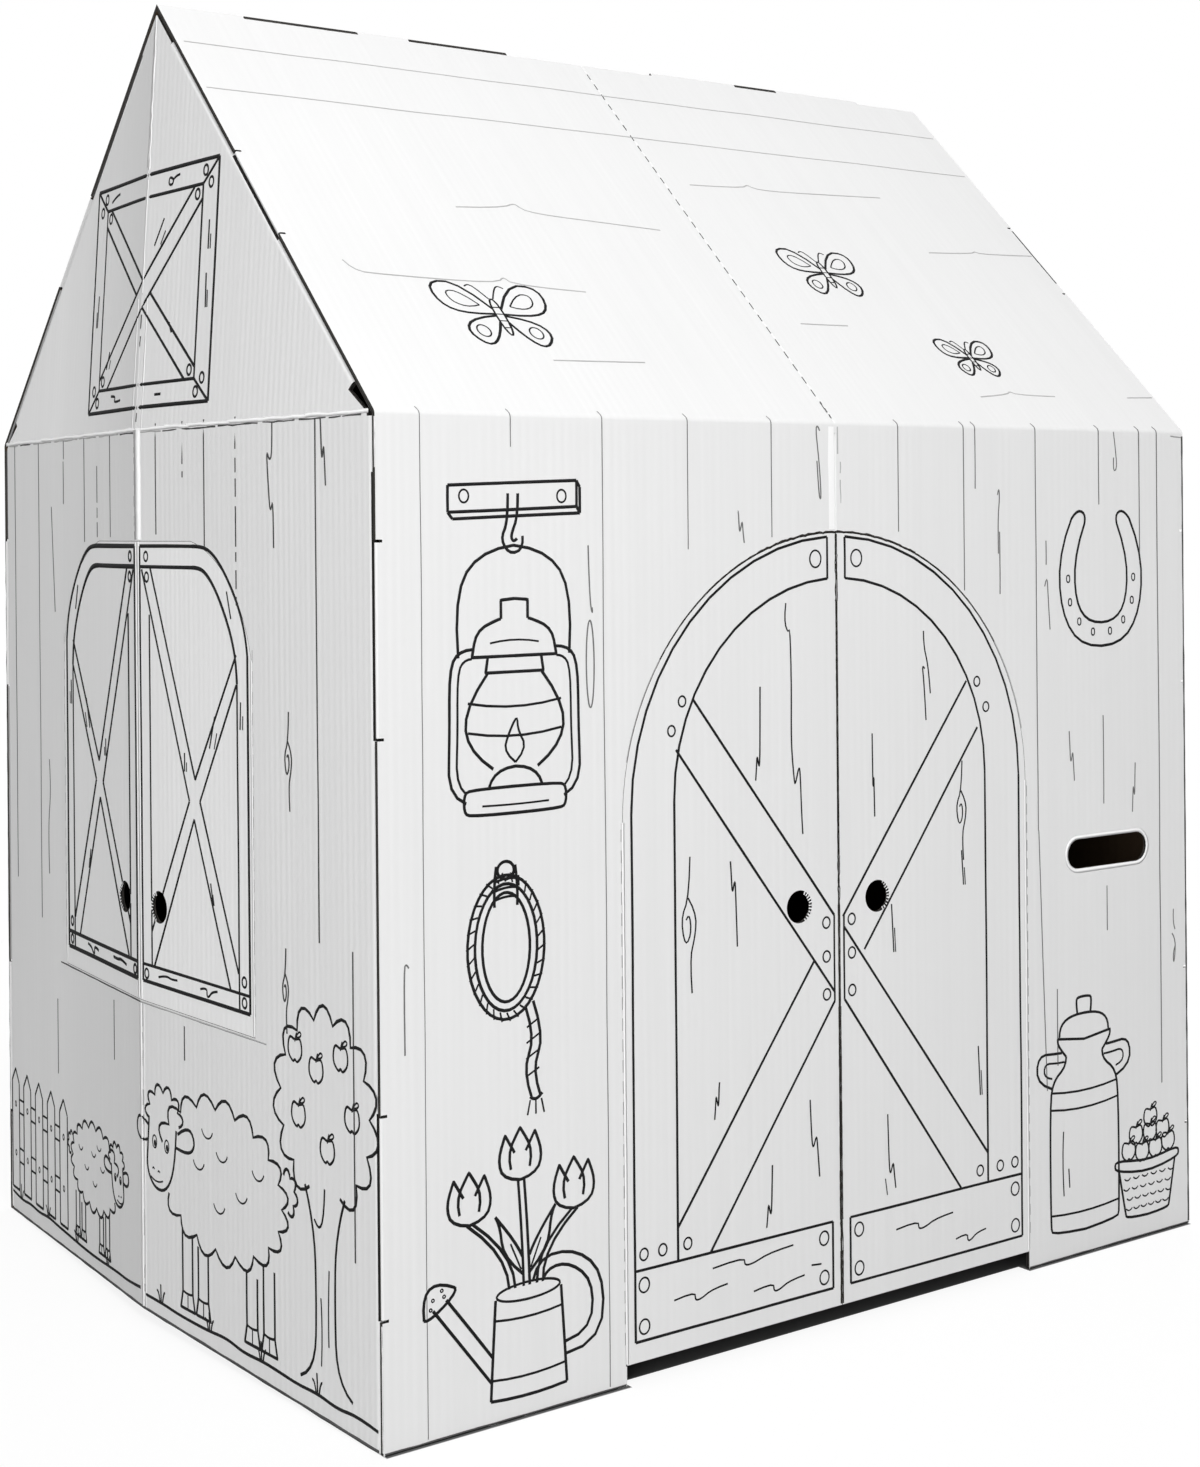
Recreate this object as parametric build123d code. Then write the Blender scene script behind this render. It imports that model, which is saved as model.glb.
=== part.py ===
"""Cardboard barn playhouse, built flat-packed: four creased sheets of corrugated board.

Axes: X runs along the ridge, Y from the front wall to the back wall, Z up.
The origin lies on the floor under the middle of the house.
Lengths are millimetres and angles are degrees.
"""
import math
import os

from build123d import *

os.makedirs("parts", exist_ok=True)

# The standing house
WIDTH = 813.0
DEPTH = 673.0
RIDGE_HEIGHT = 1029.0
EAVE_HEIGHT = 693.5
GABLE_BULGE = 21.0
GABLE_FOOT_RISE = 8.0

# The board and its folds
BOARD = 3.5
SEAT_GAP = 0.3
BEND_RADIUS = 5.0
CUT_GAP = 0.4
GROOVE_SIDE = 1.4

# The folded flanges of the gable sheets, and the tabs that lock into them
FLANGE_WIDTH = 45.0
FLANGE_TOP_CLEAR = 3.0
FLANGE_TAPER = 15.0
GABLE_LEAD = 6.0
TAB_LEAD = 7.5
TAB_BEND_RADIUS = 1.4
TAB_TUCK = 45.0
TAB_REACH = 45.0
TAB_CHAMFER = 12.0
TAB_RELIEF = 2.0
TAB_RELIEF_DEPTH = 5.0
SLOT_PLAY = 1.0
SLOT_EDGE = 2.4
LOW_TAB_FOOT = 90.0
LOW_TAB_LENGTH = 134.0
HIGH_TAB_FOOT = 476.0
HIGH_TAB_LENGTH = 130.0
HIGH_SLOT_EXTRA = 47.0
ROOF_TAB_FOOT = 189.0
ROOF_TAB_LENGTH = 95.0
RAKE_FLANGE_FOOT = 35.0
RAKE_NOTCH_DEPTH = 9.0
RAKE_FLANGE_HEAD_CLEAR = 44.0
APEX_LEAD = 2.0

# The roof
EAVE_LEAD = 8.0
FINGER_PLAY = 0.4
FRONT_FINGERS = ((0.0, 75.0), (179.0, 229.0), (485.0, 584.0), (634.0, 738.0))
BACK_FINGERS = ((75.0, 179.0), (229.0, 328.0), (584.0, 634.0))
PERFORATION_PITCH = 15.0
PERFORATION_LENGTH = 8.0
PERFORATION_WIDTH = 1.2
PERFORATION_START = 16.0

# The double door in the front wall
DOOR_HALF_WIDTH = 206.0
DOOR_FOOT = 14.0
DOOR_SPRING = 403.0

# The windows with shutters in the gable walls
WINDOW_HALF_WIDTH = 174.0
WINDOW_SILL = 249.0
WINDOW_SPRING = 521.0
WINDOW_HEAD = 607.0
WINDOW_FLAT_HALF = 86.0
WINDOW_SHOULDER = (128.0, 589.0)

# Holes for fingers and post
FINGER_HOLE_DIAMETER = 25.0
FINGER_HOLE_HEIGHT = 325.0
DOOR_HOLE_OFFSET = 40.0
SHUTTER_HOLE_OFFSET = 32.0
MAIL_SLOT_LENGTH = 100.0
MAIL_SLOT_HEIGHT = 27.0
MAIL_SLOT_CENTRE = (305.0, 336.0)

# Cutters run past the faces they cut by this much, and lengths are matched this closely
PAST = 1.0
MATCH = 0.001

# Worked out from the sizes above
HALF_WIDTH = WIDTH / 2
HALF_DEPTH = DEPTH / 2
RISE = RIDGE_HEIGHT - EAVE_HEIGHT
SLOPE_LENGTH = math.hypot(HALF_DEPTH, RISE)
PITCH = math.degrees(math.atan2(RISE, HALF_DEPTH))
SLOPE = Vector(0, HALF_DEPTH, RISE).normalized()
SEAT = BOARD + SEAT_GAP
WALL_TOP = EAVE_HEIGHT - EAVE_LEAD
WALL_LEAN = math.degrees(math.atan2(GABLE_BULGE, HALF_DEPTH - SEAT))
WALL_HALF_RUN = math.hypot(HALF_DEPTH - SEAT, GABLE_BULGE)
PEAK_HEIGHT = HALF_DEPTH * math.sin(math.radians(PITCH))
PEAK_LEAN = math.degrees(math.atan2(GABLE_BULGE, PEAK_HEIGHT - SEAT))
FAR = 2 * RIDGE_HEIGHT

# Planes on the outside of the sheets, drawn for the front half and the left end
FRONT_FACE = Plane.XZ.offset(HALF_DEPTH)
ROOF_FACE = Plane(
    origin=(0, -HALF_DEPTH, EAVE_HEIGHT),
    x_dir=(1, 0, 0),
    z_dir=(0, -SLOPE.Z, SLOPE.Y),
)
CORNER_EDGE = Plane(origin=(-HALF_WIDTH, -HALF_DEPTH, 0), x_dir=(1, 0, 0), z_dir=(0, 0, 1))
RAKE_EDGE = Plane(origin=(-HALF_WIDTH, -HALF_DEPTH, EAVE_HEIGHT), x_dir=(1, 0, 0), z_dir=SLOPE)


def rectangle(low_x, low_y, high_x, high_y):
    """Face between two corners."""
    return make_face(
        Polyline((low_x, low_y), (high_x, low_y), (high_x, high_y), (low_x, high_y), close=True)
    )


def block(low, high):
    """Box between two corners."""
    size = Vector(high) - Vector(low)
    return Pos(*low) * Box(*size, align=(Align.MIN, Align.MIN, Align.MIN))


FRONT_HALF = block((-FAR, -FAR, -FAR), (FAR, 0, FAR))
FRONT_LEAF_HALF = block((-FAR, -FAR, -FAR), (FAR, -CUT_GAP, FAR))
ABOVE_EAVE = block((-FAR, -FAR, EAVE_HEIGHT), (FAR, FAR, FAR))


def bent_profile(first_leg, second_leg, angle):
    """Section of a board folded once, its outer corner at the origin, its first leg along X."""
    turn = math.radians(angle)
    inner_corner = BOARD / math.tan(turn / 2)
    end = Vector(second_leg * math.cos(turn), second_leg * math.sin(turn))
    inner_end = end + Vector(BOARD * math.sin(turn), -BOARD * math.cos(turn))
    section = make_face(
        Polyline(
            (0, 0),
            (first_leg, 0),
            (first_leg, BOARD),
            (inner_corner, BOARD),
            (inner_end.X, inner_end.Y),
            (end.X, end.Y),
            close=True,
        )
    )
    outer = section.vertices().sort_by_distance((0, 0, 0))[0]
    section = fillet(outer, BEND_RADIUS)
    inner = section.vertices().sort_by_distance((inner_corner, BOARD, 0))[0]
    return fillet(inner, BEND_RADIUS - BOARD)


def tucked_profile(lean):
    """Section of a tab: folded in sharply at the sheet edge, then turned along the gable panel."""
    turn = math.radians(90 + TAB_TUCK)
    inwards = Vector(-math.cos(turn), math.sin(turn))
    along = Vector(-math.sin(math.radians(lean)), math.cos(math.radians(lean)))
    start = Vector(TAB_LEAD, 0)
    fold = Vector(TAB_BEND_RADIUS * (1 - math.tan(turn / 2)), 0)
    drift = math.tan(math.radians(lean))
    run = (tab_step(lean) - fold.X) / (inwards.X + drift * inwards.Y)
    turned = fold + inwards * run
    end = turned + along * (TAB_REACH - turned.Y)
    sides = [Vector(0, 1), Vector(inwards.Y, -inwards.X), Vector(along.Y, -along.X)]
    inner_fold, inner_turned = [
        corner + (before + after) * (BOARD / (1 + before.dot(after)))
        for corner, before, after in ((fold, sides[0], sides[1]), (turned, sides[1], sides[2]))
    ]
    inner_start = start + sides[0] * BOARD
    inner_end = end + sides[2] * BOARD
    route = (start, fold, turned, end, inner_end, inner_turned, inner_fold, inner_start)
    section = make_face(Polyline(*[(point.X, point.Y) for point in route], close=True))
    outer_corners = [section.vertices().sort_by_distance(point)[0] for point in (fold, inner_turned)]
    return fillet(outer_corners, TAB_BEND_RADIUS)


def gable_plane(edge, lean):
    """Outside of a gable panel: X away from the sheet edge, Y along it, Z into the house."""
    turn = math.radians(lean)
    local = Plane(
        origin=(0, SEAT, 0),
        x_dir=(-math.sin(turn), math.cos(turn), 0),
        z_dir=(math.cos(turn), math.sin(turn), 0),
    )
    return Plane(edge.location * local.location)


def tab_step(lean):
    """How far inside the sheet edge a tab runs, to pass behind the gable panel."""
    turn = math.radians(lean)
    return SEAT * (1 + math.sin(turn)) / math.cos(turn)


def groove(start, end, outward):
    """Long square bar turned on its corner, which presses a crease into the outside."""
    line = Vector(end) - Vector(start)
    frame = Plane(origin=start, x_dir=outward, z_dir=line.normalized())
    bar = Box(GROOVE_SIDE, GROOVE_SIDE, line.length, align=(Align.CENTER, Align.CENTER, Align.MIN))
    return frame * Rot(0, 0, 45) * bar


def cut_tips(strip, length, taper):
    """Take the two free corners off a folded strip of this length."""
    short_edges = strip.edges().filter_by(lambda e: abs(e.length - BOARD) < MATCH)
    tips = short_edges.sort_by_distance((0, 0, length / 2))[-2:]
    return chamfer(tips, taper)


def flange(edge, lean, low, high, slots):
    """Strip folded in from a gable panel, with a slot across its fold for each tab."""
    strip = extrude(bent_profile(FLANGE_WIDTH, GABLE_LEAD, 90 + lean), high - low)
    strip = Pos(0, SEAT, low) * cut_tips(strip, high - low, FLANGE_TAPER)
    reach = tab_step(lean) + BOARD + SLOT_PLAY
    for slot_low, slot_high in slots:
        strip -= block((-FLANGE_WIDTH, 0, slot_low), (reach, SEAT + SLOT_EDGE, slot_high))
        strip -= block((BOARD - SEAT_GAP, 0, slot_low), (reach, FLANGE_WIDTH, slot_high))
    return edge * strip


def locking_tab(edge, lean, low, length):
    """Tab folded in from a covering sheet, passing behind the gable panel."""
    tab = extrude(tucked_profile(lean), length)
    return edge * Pos(0, 0, low) * cut_tips(tab, length, TAB_CHAMFER)


def tab_recess(low, length):
    """Part of a covering sheet's edge that its tab takes up, with a relief cut at each end."""
    head = low + length
    outer = -HALF_WIDTH - PAST
    relief_end = TAB_RELIEF_DEPTH - HALF_WIDTH
    recess = rectangle(outer, low, TAB_LEAD - HALF_WIDTH, head)
    return recess + rectangle(outer, low - TAB_RELIEF, relief_end, head + TAB_RELIEF)


def doorway():
    """Arched outline of the double door, open at the floor."""
    straight = rectangle(-DOOR_HALF_WIDTH, -PAST, DOOR_HALF_WIDTH, DOOR_SPRING)
    return straight + Pos(0, DOOR_SPRING) * Circle(DOOR_HALF_WIDTH)


def door_crease():
    """Groove that the left leaf turns about."""
    foot = (-DOOR_HALF_WIDTH, -HALF_DEPTH, DOOR_FOOT)
    head = (-DOOR_HALF_WIDTH, -HALF_DEPTH, DOOR_SPRING)
    return groove(foot, head, (0, -1, 0))


def wall_half(outline):
    """Left half of a front or back wall, up to the fold of the eave."""
    outline -= tab_recess(LOW_TAB_FOOT, LOW_TAB_LENGTH)
    outline -= tab_recess(HIGH_TAB_FOOT, HIGH_TAB_LENGTH)
    wall = extrude(FRONT_FACE * outline, -BOARD)
    crease_foot = (0, -HALF_DEPTH, 0)
    crease_head = (0, -HALF_DEPTH, WALL_TOP)
    return wall - groove(crease_foot, crease_head, (0, -1, 0))


def plain_wall():
    """Left half of the back wall, drawn at the front."""
    return wall_half(rectangle(-HALF_WIDTH, 0, 0, WALL_TOP))


def door_wall(mail_slot=False):
    """Left half of the front wall, round its half of the doorway."""
    outline = rectangle(-HALF_WIDTH, 0, 0, WALL_TOP) - doorway()
    if mail_slot:
        slot_x, slot_z = MAIL_SLOT_CENTRE
        outline -= Pos(-slot_x, slot_z) * SlotOverall(MAIL_SLOT_LENGTH, MAIL_SLOT_HEIGHT)
    return wall_half(outline) - door_crease()


def door_leaf():
    """Left leaf of the double door, cut from the wall and creased at its outer side."""
    outline = doorway() & rectangle(-HALF_WIDTH, DOOR_FOOT, 0, EAVE_HEIGHT)
    outline = offset(outline, -CUT_GAP, kind=Kind.INTERSECTION)
    outline -= Pos(-DOOR_HOLE_OFFSET, FINGER_HOLE_HEIGHT) * Circle(FINGER_HOLE_DIAMETER / 2)
    return extrude(FRONT_FACE * outline, -BOARD) - door_crease()


def roof_half(fingers):
    """Left half of a roof slope with its rounded eave fold and its fingers at the ridge."""
    eave = Plane(origin=(-HALF_WIDTH, -HALF_DEPTH, EAVE_HEIGHT), x_dir=(0, 0, -1), z_dir=(1, 0, 0))
    roof = eave * extrude(bent_profile(EAVE_LEAD, SLOPE_LENGTH, 90 + PITCH), HALF_WIDTH)
    cuts = tab_recess(ROOF_TAB_FOOT, ROOF_TAB_LENGTH)
    start = -HALF_WIDTH
    stops = [finger for finger in fingers if finger[0] < HALF_WIDTH] + [(WIDTH, WIDTH)]
    for low, high in stops:
        end = min(low - HALF_WIDTH, 0.0)
        if end > start:
            foot = SLOPE_LENGTH - SEAT
            head = SLOPE_LENGTH + PAST
            cuts += rectangle(start - FINGER_PLAY, foot, end + FINGER_PLAY, head)
        start = high - HALF_WIDTH
    steps = int((SLOPE_LENGTH - 2 * PERFORATION_START) / PERFORATION_PITCH)
    for step in range(steps + 1):
        low = PERFORATION_START + step * PERFORATION_PITCH
        cuts += rectangle(-PERFORATION_WIDTH / 2, low, PAST, low + PERFORATION_LENGTH)
    roof -= extrude(ROOF_FACE * cuts, BOARD, both=True)
    crease_foot = (0, -HALF_DEPTH, EAVE_HEIGHT)
    crease_head = (0, 0, RIDGE_HEIGHT)
    return roof - groove(crease_foot, crease_head, (0, -SLOPE.Z, SLOPE.Y))


def gable_creases():
    """Grooves of the gable's upright crease and of the level crease at eave height."""
    outer = -HALF_WIDTH - GABLE_BULGE
    foot = (outer, 0, -PAST)
    middle = (outer, 0, EAVE_HEIGHT)
    apex = (-HALF_WIDTH, 0, RIDGE_HEIGHT)
    corner = (-HALF_WIDTH, -HALF_DEPTH, EAVE_HEIGHT)
    bars = groove(foot, middle, (-1, 0, 0)) + groove(middle, apex, (-1, 0, 0))
    return bars + groove(corner, middle, (0, 0, 1))


def window():
    """Half of the window's outline in the gable wall, past the upright crease."""
    centre = WALL_HALF_RUN
    hinge = centre - WINDOW_HALF_WIDTH
    past = centre + PAST
    shoulder_x, shoulder_y = WINDOW_SHOULDER
    outline = Polyline(
        (hinge, WINDOW_SPRING),
        (hinge, WINDOW_SILL),
        (past, WINDOW_SILL),
        (past, WINDOW_HEAD),
        (centre - WINDOW_FLAT_HALF, WINDOW_HEAD),
    )
    shoulder = ThreePointArc(
        (centre - WINDOW_FLAT_HALF, WINDOW_HEAD),
        (centre - shoulder_x, shoulder_y),
        (hinge, WINDOW_SPRING),
    )
    return make_face(outline + shoulder)


def shutter_crease():
    """Groove that the left gable's front shutter turns about."""
    wall = gable_plane(CORNER_EDGE, WALL_LEAN)
    hinge = WALL_HALF_RUN - WINDOW_HALF_WIDTH
    foot = wall.from_local_coords((hinge, WINDOW_SILL, 0))
    head = wall.from_local_coords((hinge, WINDOW_SPRING, 0))
    return groove(foot, head, -wall.z_dir)


def gable_wall():
    """Front half of the left gable wall, its foot rising towards the upright crease."""
    past = WALL_HALF_RUN + PAST
    foot = GABLE_FOOT_RISE / WALL_HALF_RUN
    outline = make_face(
        Polyline(
            (GABLE_LEAD, foot * GABLE_LEAD),
            (past, foot * past),
            (past, EAVE_HEIGHT),
            (GABLE_LEAD, EAVE_HEIGHT),
            close=True,
        )
    )
    panel = gable_plane(CORNER_EDGE, WALL_LEAN) * (outline - window())
    return (extrude(panel, BOARD) & FRONT_HALF) - gable_creases() - shutter_crease()


def shutter():
    """Front shutter of the left gable, cut from the wall and creased at its outer side."""
    leaf = offset(window(), -CUT_GAP, kind=Kind.INTERSECTION)
    hole_x = WALL_HALF_RUN - SHUTTER_HOLE_OFFSET
    leaf -= Pos(hole_x, FINGER_HOLE_HEIGHT) * Circle(FINGER_HOLE_DIAMETER / 2)
    leaf = extrude(gable_plane(CORNER_EDGE, WALL_LEAN) * leaf, BOARD) & FRONT_LEAF_HALF
    return leaf - gable_creases() - shutter_crease()


def gable_peak():
    """Front half of the left gable's peak, from the level crease up to the apex."""
    head = SLOPE_LENGTH - RAKE_FLANGE_HEAD_CLEAR
    outline = make_face(
        Polyline(
            (GABLE_LEAD, RAKE_FLANGE_FOOT),
            (RAKE_NOTCH_DEPTH, RAKE_FLANGE_FOOT),
            (APEX_LEAD, 0),
            (APEX_LEAD, -DEPTH),
            (DEPTH, -DEPTH),
            (DEPTH, 2 * SLOPE_LENGTH),
            (APEX_LEAD, 2 * SLOPE_LENGTH),
            (APEX_LEAD, head),
            (GABLE_LEAD, head),
            close=True,
        )
    )
    panel = extrude(gable_plane(RAKE_EDGE, PEAK_LEAN) * outline, BOARD)
    return (panel & FRONT_HALF & ABOVE_EAVE) - gable_creases()


def corner_flange():
    """Flange that lies behind the front wall, with a slot for each corner tab."""
    low_slot = (LOW_TAB_FOOT - TAB_RELIEF, LOW_TAB_FOOT + LOW_TAB_LENGTH + TAB_RELIEF)
    high_end = HIGH_TAB_FOOT + HIGH_TAB_LENGTH + HIGH_SLOT_EXTRA
    high_slot = (HIGH_TAB_FOOT - TAB_RELIEF, high_end)
    top = EAVE_HEIGHT - FLANGE_TOP_CLEAR
    return flange(CORNER_EDGE, WALL_LEAN, 0, top, (low_slot, high_slot))


def rake_flange():
    """Flange that lies under the roof, with a slot for the roof tab."""
    slot = (ROOF_TAB_FOOT - TAB_RELIEF, ROOF_TAB_FOOT + ROOF_TAB_LENGTH + TAB_RELIEF)
    head = SLOPE_LENGTH - RAKE_FLANGE_HEAD_CLEAR
    return flange(RAKE_EDGE, PEAK_LEAN, RAKE_FLANGE_FOOT, head, (slot,))


def corner_tabs():
    """Low and high tab on the front wall's edge."""
    low = locking_tab(CORNER_EDGE, WALL_LEAN, LOW_TAB_FOOT, LOW_TAB_LENGTH)
    high = locking_tab(CORNER_EDGE, WALL_LEAN, HIGH_TAB_FOOT, HIGH_TAB_LENGTH)
    return Compound(children=[low, high])


def roof_tab():
    """Tab on the roof's sloping edge."""
    return locking_tab(RAKE_EDGE, PEAK_LEAN, ROOF_TAB_FOOT, ROOF_TAB_LENGTH)


def at_right(shape):
    """The same piece at the right end."""
    return mirror(shape, about=Plane.YZ)


def at_back(shape):
    """The same piece at the back."""
    return mirror(shape, about=Plane.XZ)


def reversed_fingers(fingers):
    """Ridge fingers counted from the right end."""
    return tuple((WIDTH - high, WIDTH - low) for low, high in reversed(fingers))


def front_sheet():
    """Front wall and front roof slope, one sheet folded at the eave."""
    return {
        "front_wall_left": door_wall(),
        "front_wall_right": at_right(door_wall(mail_slot=True)),
        "front_door_left": door_leaf(),
        "front_door_right": at_right(door_leaf()),
        "front_roof_left": roof_half(FRONT_FINGERS),
        "front_roof_right": at_right(roof_half(reversed_fingers(FRONT_FINGERS))),
        "front_corner_tabs_left": corner_tabs(),
        "front_corner_tabs_right": at_right(corner_tabs()),
        "front_roof_tab_left": roof_tab(),
        "front_roof_tab_right": at_right(roof_tab()),
    }


def back_sheet():
    """Back wall and back roof slope, one sheet folded at the eave."""
    pieces = {
        "back_wall_left": plain_wall(),
        "back_wall_right": at_right(plain_wall()),
        "back_roof_left": roof_half(BACK_FINGERS),
        "back_roof_right": at_right(roof_half(reversed_fingers(BACK_FINGERS))),
        "back_corner_tabs_left": corner_tabs(),
        "back_corner_tabs_right": at_right(corner_tabs()),
        "back_roof_tab_left": roof_tab(),
        "back_roof_tab_right": at_right(roof_tab()),
    }
    return {name: at_back(shape) for name, shape in pieces.items()}


def gable_sheets():
    """Both gable sheets: four wall and peak panels, their flanges and their shutters."""
    quarter = {
        "gable_wall": gable_wall(),
        "gable_peak": gable_peak(),
        "gable_corner_flange": corner_flange(),
        "gable_rake_flange": rake_flange(),
        "shutter": shutter(),
    }
    pieces = {}
    for kind, shape in quarter.items():
        pieces[f"left_{kind}_front"] = shape
        pieces[f"left_{kind}_back"] = at_back(shape)
        pieces[f"right_{kind}_front"] = at_right(shape)
        pieces[f"right_{kind}_back"] = at_right(at_back(shape))
    return pieces


for node, solid in {**front_sheet(), **back_sheet(), **gable_sheets()}.items():
    export_step(solid, f"parts/{node}.step")
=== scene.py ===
"""Looks of the cardboard barn playhouse: board, creases, cut edges, print, camera and light.

Every panel has its own ruler in millimetres: u runs to the right and v up, as seen from outside.
A ruler turns u, v and a lift off the board into a point of the house in metres.
"""

import math
import random
from functools import partialmethod

import bpy
from mathutils import Matrix, Vector

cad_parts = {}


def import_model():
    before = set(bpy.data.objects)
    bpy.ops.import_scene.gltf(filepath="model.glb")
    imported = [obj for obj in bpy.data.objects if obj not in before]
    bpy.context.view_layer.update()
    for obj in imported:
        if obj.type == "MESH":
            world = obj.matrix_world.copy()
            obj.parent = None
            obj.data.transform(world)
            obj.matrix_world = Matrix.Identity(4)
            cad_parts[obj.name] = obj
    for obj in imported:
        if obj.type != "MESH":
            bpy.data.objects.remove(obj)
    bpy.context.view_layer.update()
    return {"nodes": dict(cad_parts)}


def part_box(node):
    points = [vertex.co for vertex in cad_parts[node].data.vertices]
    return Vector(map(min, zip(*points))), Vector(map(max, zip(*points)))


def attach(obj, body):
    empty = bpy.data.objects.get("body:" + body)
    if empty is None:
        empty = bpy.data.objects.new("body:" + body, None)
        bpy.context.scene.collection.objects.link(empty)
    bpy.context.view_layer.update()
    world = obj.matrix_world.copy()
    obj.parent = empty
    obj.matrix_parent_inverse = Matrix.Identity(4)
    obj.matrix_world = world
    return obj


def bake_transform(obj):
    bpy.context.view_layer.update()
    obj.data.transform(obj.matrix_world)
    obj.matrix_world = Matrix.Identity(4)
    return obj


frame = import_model()

MM = 0.001

# Sizes of the board house, read from the frame in millimetres
WALL_LOW, WALL_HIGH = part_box("front_wall_left")
GABLE_LOW, GABLE_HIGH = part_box("left_gable_wall_front")
HALF_WIDTH = -WALL_LOW.x / MM
HALF_DEPTH = -WALL_LOW.y / MM
BOARD = (WALL_HIGH.y - WALL_LOW.y) / MM
EAVE = GABLE_HIGH.z / MM
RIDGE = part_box("front_roof_left")[1].z / MM
BULGE = -GABLE_LOW.x / MM - HALF_WIDTH
SEAT = HALF_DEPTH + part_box("left_gable_corner_flange_front")[0].y / MM
SLOPE = math.hypot(HALF_DEPTH, RIDGE - EAVE)
FLAT_RUN = HALF_DEPTH - SEAT
PEAK_RUN = HALF_DEPTH * (RIDGE - EAVE) / SLOPE - SEAT
DOOR_HALF = -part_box("front_door_left")[0].x / MM
DOOR_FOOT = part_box("front_door_left")[0].z / MM
WINDOW_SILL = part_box("left_shutter_front")[0].z / MM
WINDOW_HALF = -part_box("left_shutter_front")[0].y / MM

# Finger holes, and the mail slot's middle, length and height
HOLE_RADIUS = 12.5
HOLE_HEIGHT = 325.0
DOOR_HOLE = 40.0
SHUTTER_HOLE = 32.0
MAIL_SLOT = (305.0, 336.0, 100.0, 27.0)

# Hinge creases of the leaves, as high as their straight sides
DOOR_SPRING = 403.0
WINDOW_SPRING = 521.0

# Bend of the long walls into the roof at the eave
BEND_RADIUS = 5.0

# Stroke widths of the print, and how far it stands off the board
FRAME = 2.1
BOLD = 2.3
MEDIUM = 1.8
GRAIN = 1.4
DETAIL = 1.3
FINE = 1.2
TICK = 1.1
GABLE_WEIGHT = 1.5
SHUTTER_WEIGHTS = {"front": 1.35, "back": 1.8}
MOTIF_WEIGHT = 1.1
INK_RELIEF = 0.12
INK_LIFT = 0.08

# Bodies of the door leaves, with their side of u
DOORS = (("door_left", -1), ("door_right", 1))


# Rulers of the panels

def flat_ruler(origin, right, up):
    """Ruler of a flat panel, from its origin and its two directions."""
    normal = right.cross(up)

    def place(u, v, lift):
        return (origin + u * right + v * up + lift * normal) * MM

    return place


def wall_ruler(origin, right, roof_up):
    """Ruler of a long wall, which goes on over the eave bend and up the roof."""
    normal = right.cross(UP)
    roof_normal = right.cross(roof_up)
    turn = normal.angle(roof_normal)
    half_bend = BEND_RADIUS * math.tan(turn / 2)
    centre = origin + (EAVE - half_bend) * UP - BEND_RADIUS * normal

    def place(u, v, lift):
        past = v - EAVE
        if past <= -half_bend:
            point, away = origin + v * UP, normal
        elif past < half_bend:
            angle = turn * (past + half_bend) / (2 * half_bend)
            away = math.cos(angle) * normal + math.sin(angle) * UP
            point = centre + BEND_RADIUS * away
        else:
            point, away = origin + EAVE * UP + past * roof_up, roof_normal
        return (point + u * right + lift * away) * MM

    return place


def gable_ruler(side):
    """Ruler of a gable sheet, which bulges to its upright crease at u 0. Left is -1, right 1."""

    def place(u, v, lift):
        across = abs(u)
        if v <= EAVE:
            rise = BULGE * (1 - across / FLAT_RUN)
            lean_across, lean_up = BULGE / FLAT_RUN, 0.0
        else:
            reach = ((HALF_DEPTH - across) * (RIDGE - EAVE) - (v - EAVE) * HALF_DEPTH) / SLOPE
            rise = BULGE * (reach - SEAT) / PEAK_RUN
            lean_across = BULGE * (RIDGE - EAVE) / SLOPE / PEAK_RUN
            lean_up = BULGE * HALF_DEPTH / SLOPE / PEAK_RUN
        toward = math.copysign(lean_across, u)
        normal = Vector((side, side * toward, lean_up)).normalized()
        return (Vector((side * (HALF_WIDTH + rise), side * u, v)) + lift * normal) * MM

    return place


RIGHT = Vector((1, 0, 0))
UP = Vector((0, 0, 1))
UP_FRONT_ROOF = Vector((0, HALF_DEPTH, RIDGE - EAVE)).normalized()
UP_BACK_ROOF = Vector((0, -HALF_DEPTH, RIDGE - EAVE)).normalized()
FRONT_EAVE = Vector((0, -HALF_DEPTH, EAVE))
BACK_EAVE = Vector((0, HALF_DEPTH, EAVE))

RULERS = {
    "front": wall_ruler(Vector((0, -HALF_DEPTH, 0)), RIGHT, UP_FRONT_ROOF),
    "back": wall_ruler(Vector((0, HALF_DEPTH, 0)), -RIGHT, UP_BACK_ROOF),
    "front_edge": flat_ruler(Vector((-HALF_WIDTH, -HALF_DEPTH, 0)), Vector((0, -1, 0)), UP),
    "front_roof": flat_ruler(FRONT_EAVE, RIGHT, UP_FRONT_ROOF),
    "back_roof": flat_ruler(BACK_EAVE, -RIGHT, UP_BACK_ROOF),
    "front_inside": flat_ruler(Vector((0, BOARD - HALF_DEPTH, 0)), -RIGHT, UP),
    "back_inside": flat_ruler(Vector((0, HALF_DEPTH - BOARD, 0)), RIGHT, UP),
    "front_roof_inside": flat_ruler(
        FRONT_EAVE - BOARD * RIGHT.cross(UP_FRONT_ROOF), -RIGHT, UP_FRONT_ROOF
    ),
    "back_roof_inside": flat_ruler(
        BACK_EAVE + BOARD * RIGHT.cross(UP_BACK_ROOF), RIGHT, UP_BACK_ROOF
    ),
    "left_gable": gable_ruler(-1),
    "right_gable": gable_ruler(1),
}


def outward(panel, u=0.0, v=0.0):
    """Direction out of a panel at one of its points."""
    place = RULERS[panel]
    return (place(u, v, 1.0) - place(u, v, 0.0)).normalized()


# Shader nodes

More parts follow.
